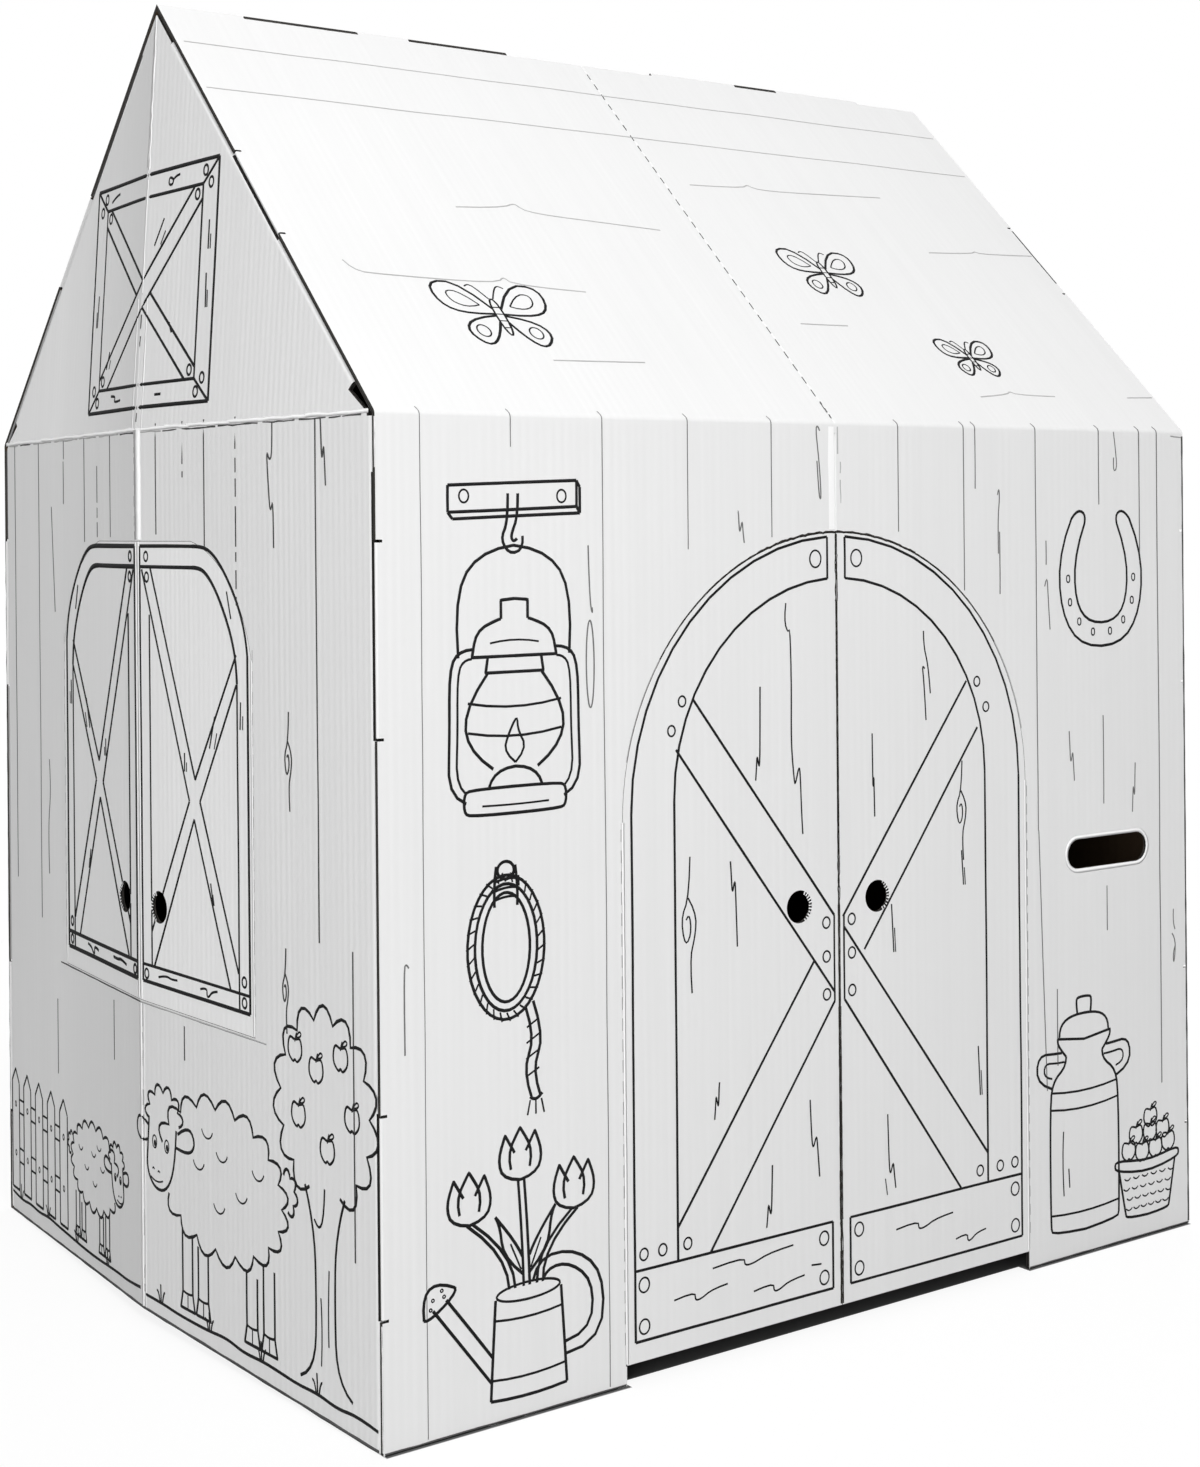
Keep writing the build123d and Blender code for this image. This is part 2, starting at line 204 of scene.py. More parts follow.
class Wiring:
    """Adds nodes to one node tree and joins them."""

    def __init__(self, tree):
        self.tree = tree

    def node(self, kind, inputs=None, **settings):
        made = self.tree.nodes.new(kind)
        for name, value in settings.items():
            setattr(made, name, value)
        for key, value in (inputs or {}).items():
            self.feed(value, made.inputs[key])
        return made

    def feed(self, value, socket):
        if isinstance(value, bpy.types.NodeSocket):
            self.tree.links.new(value, socket)
        else:
            socket.default_value = value

    def calculate(self, operation, *values):
        return self.node("ShaderNodeMath", dict(enumerate(values)), operation=operation).outputs[0]

    # Over and under give 1 where the first number is past the second. Free drops the sign
    times = partialmethod(calculate, "MULTIPLY")
    plus = partialmethod(calculate, "ADD")
    minus = partialmethod(calculate, "SUBTRACT")
    most = partialmethod(calculate, "MAXIMUM")
    over = partialmethod(calculate, "GREATER_THAN")
    under = partialmethod(calculate, "LESS_THAN")
    free = partialmethod(calculate, "ABSOLUTE")
    sine = partialmethod(calculate, "SINE")

    def dot(self, first, second):
        inputs = {0: first, 1: second}
        return self.node("ShaderNodeVectorMath", inputs, operation="DOT_PRODUCT").outputs["Value"]

    def scaled(self, colour, share):
        """A colour made lighter or darker."""
        inputs = {0: colour, "Scale": share}
        return self.node("ShaderNodeVectorMath", inputs, operation="SCALE").outputs[0]

    def length(self, vector):
        return self.node("ShaderNodeVectorMath", {0: vector}, operation="LENGTH").outputs["Value"]

    def mix(self, factor, first, second):
        """Blend of two colours."""
        inputs = {0: factor, 6: first, 7: second}
        return self.node("ShaderNodeMix", inputs, data_type="RGBA").outputs[2]

    def between(self, factor, first, second):
        """Blend of two numbers."""
        inputs = {0: factor, 2: first, 3: second}
        return self.node("ShaderNodeMix", inputs, data_type="FLOAT").outputs[0]

    def noise(self, vector, scale, detail=2.0, roughness=0.5):
        inputs = {"Vector": vector, "Scale": scale, "Detail": detail, "Roughness": roughness}
        return self.node("ShaderNodeTexNoise", inputs).outputs[0]

    def spread(self, value, low, high, to_low=0.0, to_high=1.0):
        """Stretch of the range between low and high, held at its ends."""
        inputs = {"Value": value, 1: low, 2: high, 3: to_low, 4: to_high}
        return self.node("ShaderNodeMapRange", inputs, clamp=True).outputs[0]

    def coordinates(self, name="Object"):
        return self.node("ShaderNodeTexCoord").outputs[name]

    def place(self):
        """Place on the piece, its X, Y and Z apart."""
        return self.node("ShaderNodeSeparateXYZ", {0: self.coordinates()}).outputs

    def bump(self, height):
        """Relief of this height in millimetres."""
        inputs = {"Height": height, "Distance": MM, "Strength": 1.0}
        return self.node("ShaderNodeBump", inputs).outputs[0]


def node_group(name, inputs, outputs):
    """Empty shader group with these sockets, its wiring, and its input and output nodes."""
    group = bpy.data.node_groups.new(name, "ShaderNodeTree")
    for label, kind in inputs:
        group.interface.new_socket(label, in_out="INPUT", socket_type=kind)
    for label in outputs:
        group.interface.new_socket(label, in_out="OUTPUT", socket_type="NodeSocketFloat")
    wires = Wiring(group)
    return group, wires, wires.node("NodeGroupInput"), wires.node("NodeGroupOutput")


def use_group(wires, group, **inputs):
    """Places a group in a material with these inputs."""
    made = wires.node("ShaderNodeGroup", node_tree=group)
    for name, value in inputs.items():
        wires.feed(value, made.inputs[name])
    return made


VECTOR = "NodeSocketVector"
NUMBER = "NodeSocketFloat"
BOARD_INPUTS = (("Outward", VECTOR), ("Bend", VECTOR), ("Face", NUMBER), ("BendFace", NUMBER))

# Flutes of the board, and how far each liner counts as seen
FLUTE_PITCH = 7.2 * MM
FLUTE_TURNS = 2 * math.pi / FLUTE_PITCH
WAVE_HEIGHT = 1.15 * MM
CORE_HALF = 0.42 * MM
LINER_FROM = 1.35 * MM
FACING_SLACK = 0.04
STEEPEST_CUT = 0.6
DEEPEST_LINER = 6.0 * MM
# Reach from the gable's upright crease of the painted light and shade on the liner
REACH_OF_PAINTED_FOLD_LIGHT = 0.2

# Span that holds most values of a noise
NOISE_SPAN = (0.3, 0.7)


def sides_group():
    """Tells the printed outside from the brown inside by the way the surface faces."""
    inputs = BOARD_INPUTS + (("Middle", VECTOR), ("Limit", NUMBER))
    group, wires, given, out = node_group("board sides", inputs, ("Outside", "Inside"))
    normal = wires.coordinates("Normal")
    place = wires.coordinates()
    shown = []
    for way, face in (("Outward", "Face"), ("Bend", "BendFace")):
        facing = wires.over(wires.dot(normal, given.outputs[way]), STEEPEST_CUT)
        depth = wires.minus(given.outputs[face], wires.dot(place, given.outputs[way]))
        shown.append(wires.times(facing, wires.under(depth, DEEPEST_LINER)))
    wires.feed(wires.most(*shown), out.inputs["Outside"])
    away = wires.times(given.outputs["Limit"], -1.0)
    behind = wires.under(wires.dot(normal, given.outputs["Middle"]), away)
    wires.feed(behind, out.inputs["Inside"])
    return group


def washboard_group():
    """Faint streaks where the flutes show through the liner."""
    inputs = (("Across", VECTOR),)
    group, wires, given, out = node_group("washboard", inputs, ("Streaks", "Height"))
    across = wires.dot(wires.coordinates(), given.outputs["Across"])
    flutes = wires.sine(wires.times(across, FLUTE_TURNS))
    height = wires.times(wires.place()["Z"], 0.02)
    drawn_out = wires.node("ShaderNodeCombineXYZ", {"X": across, "Z": height}).outputs[0]
    narrow = wires.noise(drawn_out, scale=210.0, detail=2.0, roughness=0.6)
    wide = wires.noise(drawn_out, scale=45.0, detail=1.0)
    mixed = wires.plus(wires.times(narrow, 0.6), wires.times(wide, 0.4))
    wires.feed(wires.spread(mixed, 0.35, 0.65), out.inputs["Streaks"])
    strength = wires.spread(wide, *NOISE_SPAN, to_low=0.4, to_high=1.0)
    wires.feed(wires.times(flutes, strength), out.inputs["Height"])
    return group


def fibre_group():
    """Tooth and small flecks of paper."""
    inputs = (("Grain", NUMBER),)
    group, wires, given, out = node_group("paper fibre", inputs, ("Flecks", "Height", "Cloud"))
    place = wires.coordinates()
    tooth = wires.noise(place, given.outputs["Grain"], detail=3.0, roughness=0.65)
    flecks = wires.noise(place, wires.times(given.outputs["Grain"], 0.35), detail=2.0, roughness=0.7)
    cloud = wires.noise(place, scale=6.0, detail=2.0)
    wires.feed(wires.spread(flecks, 0.62, 0.72), out.inputs["Flecks"])
    wires.feed(tooth, out.inputs["Height"])
    wires.feed(wires.spread(cloud, *NOISE_SPAN), out.inputs["Cloud"])
    return group


def corrugation_group():
    """Liner, fluted core and liner, as a cut edge shows them."""
    inputs = (("Across", VECTOR),) + BOARD_INPUTS
    group, wires, given, out = node_group("corrugation", inputs, ("Paper",))
    place = wires.coordinates()
    across = wires.dot(place, given.outputs["Across"])
    depth = wires.minus(given.outputs["Face"], wires.dot(place, given.outputs["Outward"]))
    bend_depth = wires.minus(given.outputs["BendFace"], wires.dot(place, given.outputs["Bend"]))
    past = wires.over(depth, (BOARD + 0.1) * MM)
    middle = wires.minus(wires.between(past, depth, bend_depth), BOARD / 2 * MM)
    wave = wires.times(wires.sine(wires.times(across, FLUTE_TURNS)), WAVE_HEIGHT)
    core = wires.under(wires.free(wires.minus(middle, wave)), CORE_HALF)
    liner = wires.over(wires.free(middle), LINER_FROM)
    wires.feed(wires.most(core, liner), out.inputs["Paper"])
    return group


SIDES = sides_group()
WASHBOARD = washboard_group()
FIBRE = fibre_group()
CORRUGATION = corrugation_group()

# Tones of the papers
WHITE_LINER = (0.745, 0.745, 0.745, 1)
WHITE_SHADE = (0.716, 0.716, 0.716, 1)
KRAFT = (0.18, 0.119, 0.070, 1)
KRAFT_SHADE = (0.143, 0.092, 0.053, 1)
KRAFT_FLECK = (0.10, 0.062, 0.035, 1)
# Cut edges: dark paper painted nearly black as shade, and the flutes' hollows painted black as shade
CUT_EDGE_PAPER_AND_SHADE = (0.050, 0.045, 0.040, 1)
CUT_HOLLOW_SHADE = (0.008, 0.0075, 0.007, 1)
# Share of the brown liner's tone on panels that stay inside the house, lowered as painted shade
INDOOR_LINER_PAINTED_SHADE = 0.45

# Heights in the board's relief: ribs over the flutes, tooth of the liner and layers at a cut
WALL_RIBS = 0.04
GABLE_RIBS = 0.075
TOOTH = 0.012
CUT_LAYERS = 0.6

# How fine the liner's fibre is, how rough liner and cut are, and how much each paper shines
LINER_GRAIN = 1500.0
LINER_ROUGH = (0.58, 0.70)
CUT_ROUGH = 0.95
LINER_SHINE = 0.35
PAPER_SHINE = 0.15


def new_material(name):
    """Material with its wiring and its shader."""
    material = bpy.data.materials.new(name)
    material.use_nodes = True
    wires = Wiring(material.node_tree)
    return material, wires, material.node_tree.nodes["Principled BSDF"]


def board_material(name, panel, bend_panel, across, painted_at_fold=1.0, painted_off_fold=1.0, indoor_painted_shade=1.0):
    """White coated corrugated board: printed liner outside, brown liner inside, cut edges painted dark
    as shade.

    A panel gives its direction out and how far its face is that way. The liner's tone goes from
    painted_at_fold at the gable's upright crease to painted_off_fold beside it, as painted light and
    shade.
    The brown liner's tone is scaled by indoor_painted_shade, lower on panels that stay inside the house
    as painted shade."""
    material, wires, shader = new_material(name)
    (out, face), (bend, bend_face) = panel, bend_panel
    middle = (out + bend).normalized()
    limit = max(STEEPEST_CUT, middle.dot(out) - FACING_SLACK) if out != bend else STEEPEST_CUT
    faces = {"Outward": out, "Bend": bend, "Face": face, "BendFace": bend_face}
    sides = use_group(wires, SIDES, Middle=middle, Limit=limit, **faces)
    streaks = use_group(wires, WASHBOARD, Across=across)
    fibre = use_group(wires, FIBRE, Grain=LINER_GRAIN)
    edge = use_group(wires, CORRUGATION, Across=across, **faces)
    outside = sides.outputs["Outside"]
    inside = sides.outputs["Inside"]
    tone = wires.between(0.35, streaks.outputs["Streaks"], fibre.outputs["Cloud"])
    white = wires.mix(tone, WHITE_SHADE, WHITE_LINER)
    # Painted light and shade: the white liner darker or lighter by the gable's upright crease
    if painted_at_fold != 1.0 or painted_off_fold != 1.0:
        from_fold = wires.free(wires.place()["Y"])
        white = wires.scaled(white, wires.spread(from_fold, 0.0, REACH_OF_PAINTED_FOLD_LIGHT, painted_at_fold, painted_off_fold))
    brown = wires.mix(tone, KRAFT_SHADE, KRAFT)
    brown = wires.mix(fibre.outputs["Flecks"], brown, KRAFT_FLECK)
    # Brown liner of the panels that stay inside darkened as painted shade
    if indoor_painted_shade != 1.0:
        brown = wires.scaled(brown, indoor_painted_shade)
    # Cut edge, painted dark as shade
    cut = wires.mix(edge.outputs["Paper"], CUT_HOLLOW_SHADE, CUT_EDGE_PAPER_AND_SHADE)
    colour = wires.mix(outside, wires.mix(inside, cut, brown), white)
    wires.feed(colour, shader.inputs["Base Color"])
    covered = wires.plus(outside, inside)
    liner_rough = wires.spread(fibre.outputs["Height"], *NOISE_SPAN, *LINER_ROUGH)
    wires.feed(wires.between(covered, CUT_ROUGH, liner_rough), shader.inputs["Roughness"])
    ribs = WALL_RIBS if abs(out.y) > abs(out.x) or out.z > 0.5 else GABLE_RIBS
    relief = wires.times(streaks.outputs["Height"], ribs)
    relief = wires.plus(relief, wires.times(fibre.outputs["Height"], TOOTH))
    relief = wires.between(covered, wires.times(edge.outputs["Paper"], CUT_LAYERS), relief)
    wires.feed(wires.bump(relief), shader.inputs["Normal"])
    shader.inputs["Specular IOR Level"].default_value = LINER_SHINE
    return material


def paper_material(name, first, second, rough=0.75, grain=900.0, relief=0.02):
    """Paper or ink of two close tones, mottled."""
    material, wires, shader = new_material(name)
    fibre = use_group(wires, FIBRE, Grain=grain)
    tone = wires.between(0.5, fibre.outputs["Cloud"], fibre.outputs["Height"])
    colour = wires.mix(tone, first, second)
    colour = wires.mix(wires.times(fibre.outputs["Flecks"], 0.5), colour, second)
    wires.feed(colour, shader.inputs["Base Color"])
    rough = wires.spread(fibre.outputs["Height"], *NOISE_SPAN, rough - 0.06, rough + 0.06)
    wires.feed(rough, shader.inputs["Roughness"])
    height = wires.times(fibre.outputs["Height"], relief)
    wires.feed(wires.bump(height), shader.inputs["Normal"])
    shader.inputs["Specular IOR Level"].default_value = PAPER_SHINE
    return material


def grey(tone):
    """Grey of this tone as a colour."""
    return (tone, tone, tone, 1)


BLACK_INK = paper_material("black_ink", grey(0.004), (0.014, 0.014, 0.015, 1))
GREY_LINES = paper_material("grey_ink", grey(0.12), grey(0.20))
DARK_GREY_LINES = paper_material("dark_grey_ink", grey(0.035), grey(0.08))
FAINT_LINES = paper_material("faint_ink", grey(0.42), grey(0.52))
# Crushed liner of the creases and rims, lighter than the board: partly its own whitening, partly a
# painted highlight
CRUSHED_AND_HIGHLIT_LINER = paper_material(
    "crushed_and_highlit_liner", grey(0.84), grey(0.90), rough=0.7, grain=700.0, relief=0.08
)
# Grey of pressed lines, also used as painted shade beside creases and in the gaps at the gables
PRESSED_AND_SHADE_LINE = paper_material(
    "pressed_and_shade_line", grey(0.35), grey(0.47), rough=0.8, grain=700.0, relief=0.05
)
# Near black of splits, also used as painted shadow at the feet of the walls and in the gaps at the
# gables
SPLIT_AND_SHADOW_LINE = paper_material(
    "split_and_shadow_line", grey(0.045), grey(0.11), rough=0.85, grain=600.0, relief=0.05
)
# Die cut line, painted dark as the shade in the cut
CUT_LINE = paper_material("cut_line", CUT_HOLLOW_SHADE, CUT_EDGE_PAPER_AND_SHADE, rough=0.9, grain=500.0, relief=0.05)

# Words in the nodes' names, with the panel that each lies on and the panel that it bends into
LYING = (
    ("rake_flange", "{side}_peak_{half}", "{half}_roof"),
    ("corner_flange", "{side}_gable_{half}", "{half}"),
    ("peak", "{side}_peak_{half}", "{side}_peak_{half}"),
    ("gable", "{side}_gable_{half}", "{side}_gable_{half}"),
    ("shutter", "{side}_gable_{half}", "{side}_gable_{half}"),
    ("roof_tab", "{half}_roof", "{side}_peak_{half}"),
    ("corner_tabs", "{half}", "{side}_gable_{half}"),
    ("roof", "{half}_roof", "{half}"),
    ("", "{half}", "{half}"),
)

# Painted light and shade on the white liner, as its tone at the gable's upright crease and away from it:
# the back halves darker by the crease, the shutters lighter
PAINTED_LIGHT_BY_FOLD = {
    "shutter_front": (1.10, 1.10),
    "shutter_back": (1.02, 1.10),
    "peak_back": (0.88, 1.14),
    "gable_wall_back": (0.90, 1.03),
}


def panel_face(side, half, kind):
    """Direction out of a panel, and how far its face is from the origin along that direction."""
    if kind in ("gable", "peak"):
        sign = -1 if side == "left" else 1
        toward = -sign if half == "front" else sign
        normal = outward(f"{side}_gable", toward, EAVE + 1.0 if kind == "peak" else 0.0)
        point = Vector((sign * (HALF_WIDTH + BULGE), 0, EAVE))
    else:
        normal = outward(half + kind)
        point = FRONT_EAVE if half == "front" else BACK_EAVE
    return normal, normal.dot(point) * MM


def dress_board():
    """Gives each node of the frame its board, facing the way it lies."""
    faces = {}
    for half in ("front", "back"):
        for kind in ("", "_roof"):
            faces[half + kind] = panel_face("", half, kind)
        for side in ("left", "right"):
            for kind in ("gable", "peak"):
                faces[f"{side}_{kind}_{half}"] = panel_face(side, half, kind)
    for name, node in frame["nodes"].items():
        half = "front" if "front" in name else "back"
        side = "left" if "left" in name else "right"
        panel, bend = next(
            (lies.format(side=side, half=half), bends.format(side=side, half=half))
            for word, lies, bends in LYING if word in name
        )
        on_gable = "gable" in name or "shutter" in name
        # Painted light and shade by the gable's upright crease, for the parts that have it
        shade = next((tones for part, tones in PAINTED_LIGHT_BY_FOLD.items() if part in name), (1.0, 1.0))
        # Painted shade on the brown liner of all panels but the leaves
        indoor_painted_shade = 1.0 if "shutter" in name or "door" in name else INDOOR_LINER_PAINTED_SHADE
        across = (0, 1, 0) if on_gable else (1, 0, 0)
        node.material_slots[0].material = board_material(
            f"board_{name}", faces[panel], faces[bend], across, *shade, indoor_painted_shade
        )


# Pens: strokes on a ruler become one printed piece

# Lengths of a broken line's marks and gaps in turn
BROKEN_MARKS = (26, 5, 9, 5, 18, 6)

# Length between a ruled line's points, degrees between an arc's, and points of an oval and a bump
RULED_STEP = 45
ARC_STEP = 7
OVAL_POINTS = 12
BUMP_POINTS = 6

# Frays on a finger hole's rim: how many, and the degrees from one to the next
FRAYS = 11
FRAY_STEP = 12.4


def around(u, v, half_width, half_height, angles):
    """Points of an oval at these angles."""
    return [(u + half_width * math.cos(angle), v + half_height * math.sin(angle)) for angle in angles]


def sized(u, v, size, points):
    """These points, made larger or smaller and moved to u, v."""
    return [(u + size * x, v + size * y) for x, y in points]


def corners(left, right, low, high):
    """Corners of a rectangle in turn."""
    return [(left, low), (right, low), (right, high), (left, high)]


class Pen:
    """Draws strokes in a panel's millimetres and lays them on the board as one piece."""

    def __init__(self, name, finishes=None, relief=INK_RELIEF, rounds=3, weight=1.0):
        self.curve = bpy.data.curves.new(name, "CURVE")
        self.curve.dimensions = "3D"
        self.curve.twist_mode = "Z_UP"
        self.curve.fill_mode = "FULL"
        self.curve.bevel_depth = 1.0
        self.curve.bevel_resolution = 0
        self.curve.use_fill_caps = True
        for material in finishes or (BLACK_INK, GREY_LINES):
            self.curve.materials.append(material)
        self.relief = relief
        self.rounds = rounds
        self.weight = weight
        self.hand = random.Random(name)
        self.move()

    def move(self, u=0.0, v=0.0, size=1.0, mirrored=False):
        """Sets where the next strokes go, and how large."""
        self.start = Vector((u, v))
        self.size = size
        self.turn = -1 if mirrored else 1

    def stroke(self, points, width=BOLD, soft=True, closed=False, tone=0, rough=0.06):
        """One line through or near these points, its width varied by the share rough."""
        soft = soft and len(points) > 2
        spline = self.curve.splines.new("NURBS" if soft else "POLY")
        spline.points.add(len(points) - 1)
        for point, (u, v) in zip(spline.points, points):
            across, along = self.turn * self.size * u, self.size * v
            point.co = (self.start.x + across, self.start.y + along, 0.0, 1.0)
            point.radius = width * self.weight / 2 * (1 + self.hand.uniform(-rough, rough))
        spline.use_cyclic_u = closed
        if soft:
            spline.order_u = 3
            spline.use_endpoint_u = not closed
            spline.resolution_u = self.rounds
        spline.material_index = tone

    def thin(self, points):
        """Thin grey line."""
        self.stroke(points, FINE, tone=1)

    def ruled(self, start, end, width=MEDIUM, tone=0, unsteady=0.3):
        """Nearly straight line, as drawn along a ruler by hand."""
        start, end = Vector(start), Vector(end)
        steps = max(2, int((end - start).length * self.size / RULED_STEP))
        across = (end - start).orthogonal().normalized()
        points = [start]
        for step in range(1, steps):
            aside = across * self.hand.uniform(-unsteady, unsteady)
            points.append(start.lerp(end, step / steps) + aside)
        self.stroke(points + [end], width, tone=tone)

    def path(self, corners, width=MEDIUM, closed=False):
        """Ruled lines from corner to corner."""
        ends = corners[1:] + corners[:1] if closed else corners[1:]
        for start, end in zip(corners, ends):
            self.ruled(start, end, width)

    def past_hole(self, start, end, hole, width=MEDIUM):
        """Ruled line that stops at the rim of a finger hole and goes on behind it."""
        start, end, hole = Vector(start), Vector(end), Vector(hole)
        along = (end - start).normalized()
        reach = (hole - start).dot(along)
        nearest = start + along * reach
        inside = HOLE_RADIUS ** 2 - (hole - nearest).length_squared
        if inside <= 0 or not 0 < reach < (end - start).length:
            self.ruled(start, end, width)
            return
        self.ruled(start, nearest - along * math.sqrt(inside), width)
        self.ruled(nearest + along * math.sqrt(inside), end, width)

    def frayed_hole(self, hole, toward):
        """Torn liner and flutes that show on one side of a finger hole's rim."""
        first = toward - FRAY_STEP * (FRAYS - 1) / 2
        for step in range(FRAYS):
            angle = math.radians(first + FRAY_STEP * step)
            way = Vector((math.cos(angle), math.sin(angle)))
            reach = self.hand.uniform(1.6, 3.2)
            near = Vector(hole) + way * (HOLE_RADIUS - reach)
            far = Vector(hole) + way * (HOLE_RADIUS + 0.6)
            self.stroke([near, far], TICK, rough=0.4)

    def oval(self, u, v, half_width, half_height, width=MEDIUM, tone=0):
        """Closed ring."""
        angles = [2 * math.pi * step / OVAL_POINTS for step in range(OVAL_POINTS)]
        self.stroke(around(u, v, half_width, half_height, angles), width, closed=True, tone=tone)

    def arc(self, u, v, radius, start, end, width):
        """Part of a circle between two angles in degrees."""
        steps = max(3, int(abs(end - start) / ARC_STEP))
        angles = [math.radians(start + (end - start) * step / steps) for step in range(steps + 1)]
        self.stroke(around(u, v, radius, radius, angles), width, soft=False)

    def scallops(self, u, v, half_width, half_height, count, depth, start, end):
        """Row of bumps along an oval, as for wool or a tree crown."""
        points = []
        steps = count * BUMP_POINTS
        for step in range(steps + 1):
            bump = abs(math.sin(math.pi * step / BUMP_POINTS)) * depth
            angle = math.radians(start + (end - start) * step / steps)
            points += around(u, v, half_width + bump, half_height + bump, [angle])
        self.stroke(points, soft=False)

    def broken(self, start, end):
        """Ruled line that stops and goes on."""
        start, end = Vector(start), Vector(end)
        along = (end - start).normalized()
        done, turn = 0.0, 0
        while done < (end - start).length:
            mark = BROKEN_MARKS[turn % len(BROKEN_MARKS)] * self.hand.uniform(0.7, 1.3)
            stop = min(done + mark, (end - start).length)
            self.thin([start + along * done, start + along * stop])
            done = stop + BROKEN_MARKS[(turn + 1) % len(BROKEN_MARKS)] * self.hand.uniform(0.7, 1.3)
            turn += 2

    def torn(self, start, end, width, jag=0.5, step=6.0, rough=0.35, tone=0):
        """Ragged line from start to end, as torn or crushed paper shows."""
        start, end = Vector(start), Vector(end)
        across = (end - start).orthogonal().normalized()
        steps = max(2, int((end - start).length / step))
        points = []
        for count in range(steps + 1):
            points.append(start.lerp(end, count / steps) + across * self.hand.uniform(-jag, jag))
        self.stroke(points, width, soft=False, tone=tone, rough=rough)

    def upright(self, u, low, high, width, **style):
        """Ragged upright line."""
        self.torn((u, low), (u, high), width, **style)

    def lay(self, panel, body=None, flat=False):
        """Lays the strokes on a panel, as a piece that rides on a body. Flat ones shade as a strip."""
        piece = bpy.data.objects.new(self.curve.name, self.curve)
        bpy.context.scene.collection.objects.link(piece)
        bpy.ops.object.select_all(action="DESELECT")
        piece.select_set(True)
        bpy.context.view_layer.objects.active = piece
        bpy.ops.object.convert(target="MESH")
        piece = bpy.context.view_layer.objects.active
        place = RULERS[panel]
        for vertex in piece.data.vertices:
            u, v, lift = vertex.co
            vertex.co = place(u, v, lift * self.relief + INK_LIFT)
        if flat:
            bpy.ops.object.shade_flat()
        if body:
            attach(piece, body)
        return piece


# Marks of drawn wood

def plank_line(pen, u, top, foot, width=FINE):
    """Long grey line between two boards."""
    pen.ruled((u, top), (u, foot), width, tone=1, unsteady=0.4)


def split(pen, u, top, kink, foot, jump=6.0, tone=0):
    """Grain line that hooks back and goes on beside itself."""
    hook = ((0.1, 14), (0.2, 0), (0.35, -2), (0.7, 8), (0.8, -2))
    points = [(u + share * jump, kink + rise) for share, rise in hook]
    pen.stroke([(u, top), *points, (u + jump, foot)], FINE if tone else GRAIN, tone=tone)


def knot(pen, u, v, size=1.0, tone=0):
    """Two grain lines that part round a knot."""
    left = ((3, 50), (2, 20), (-6, 6), (-2, -16), (4, -6), (2, 10), (-1, 4))
    right = ((1, 20), (9, 8), (7, -10), (2, -24), (4, -50))
    for line in (left, right):
        pen.stroke(sized(u, v, size, line), FINE if tone else GRAIN, tone=tone)


def rivet(pen, u, v, size=1.0):
    """Round nail head."""
    pen.oval(u, v, 4.3 * size, 5.0 * size, GRAIN)


def nick(pen, u, v, rise=20.0, lean=0.0):
    """Two short strokes side by side."""
    pen.stroke([(u, v + rise / 2), (u + lean / 2, v), (u + lean, v - rise / 2)], GRAIN)
    pen.stroke([(u + 3, v), (u + 3 + lean / 2, v - rise / 2)], TICK)


def lying_grain(pen, u, v, length, kink=True):
    """Grain line along a level board."""
    points = [(u, v), (u + 0.4 * length, v + 3)]
    if kink:
        points += [(u + 0.38 * length, v - 4), (u + 0.5 * length, v - 4)]
    points += [(u + 0.7 * length, v + 1), (u + length, v + 2)]
    pen.stroke(points, GRAIN)


# The double door

FRAME_HALF = 198.0
FRAME_INNER = 159.0
ARCH_CENTRE = 408.0
INNER_ARCH_CENTRE = 415.0
RAIL_TOP = 80.0
RAIL_FOOT = 29.0
STILE_EDGE = 9.0
BRACES = {
    -1: (((141, 488), (5, 315)), ((157, 452), (5, 256)), ((25, 283), (FRAME_INNER, 104))),
    1: (((139, 488), (4, 313)), ((151, 450), (26, 285)), ((5, 305), (FRAME_INNER, 104))),
}
SHORT_BRACE = ((5, 249), (129, RAIL_TOP))
DOOR_RIVETS = (
    (21, 589, 1.35), (151, 487, 0.8), (161, 466, 0.8),
    (13, 310, 0.88), (13, 284, 0.88), (13, 255, 0.88), (150, 91, 0.88), (173, 91, 0.88), (190, 91, 0.88),
    (18, 69, 1.1), (18, 39, 1.1), (190, 69, 1.1), (190, 39, 1.1),
)


def door_print(pen, side):
    """Barn door on one leaf: arched frame, crossed braces, bottom rail and rivets."""
    pen.move(mirrored=side < 0)
    top = math.degrees(math.acos(STILE_EDGE / FRAME_HALF))
    inner_top = math.degrees(math.acos(STILE_EDGE / FRAME_INNER))
    pen.arc(0, ARCH_CENTRE, FRAME_HALF, 0, top, FRAME)
    pen.arc(0, INNER_ARCH_CENTRE, FRAME_INNER, 0, inner_top, FRAME)
    pen.ruled((STILE_EDGE, 605.5), (STILE_EDGE, 573.5), FRAME)
    pen.ruled((FRAME_HALF, ARCH_CENTRE), (FRAME_HALF, RAIL_TOP), FRAME)
    pen.ruled((FRAME_INNER, INNER_ARCH_CENTRE), (FRAME_INNER, RAIL_TOP), FRAME)
    pen.path(corners(STILE_EDGE, FRAME_HALF, RAIL_TOP, RAIL_FOOT), FRAME, closed=True)
    pen.ruled((5, 315), (5, 249), MEDIUM)
    for start, end in (*BRACES[side], SHORT_BRACE):
        pen.ruled(start, end, FRAME)
    for u, v, size in DOOR_RIVETS:
        rivet(pen, u, v, size)
    pen.move()


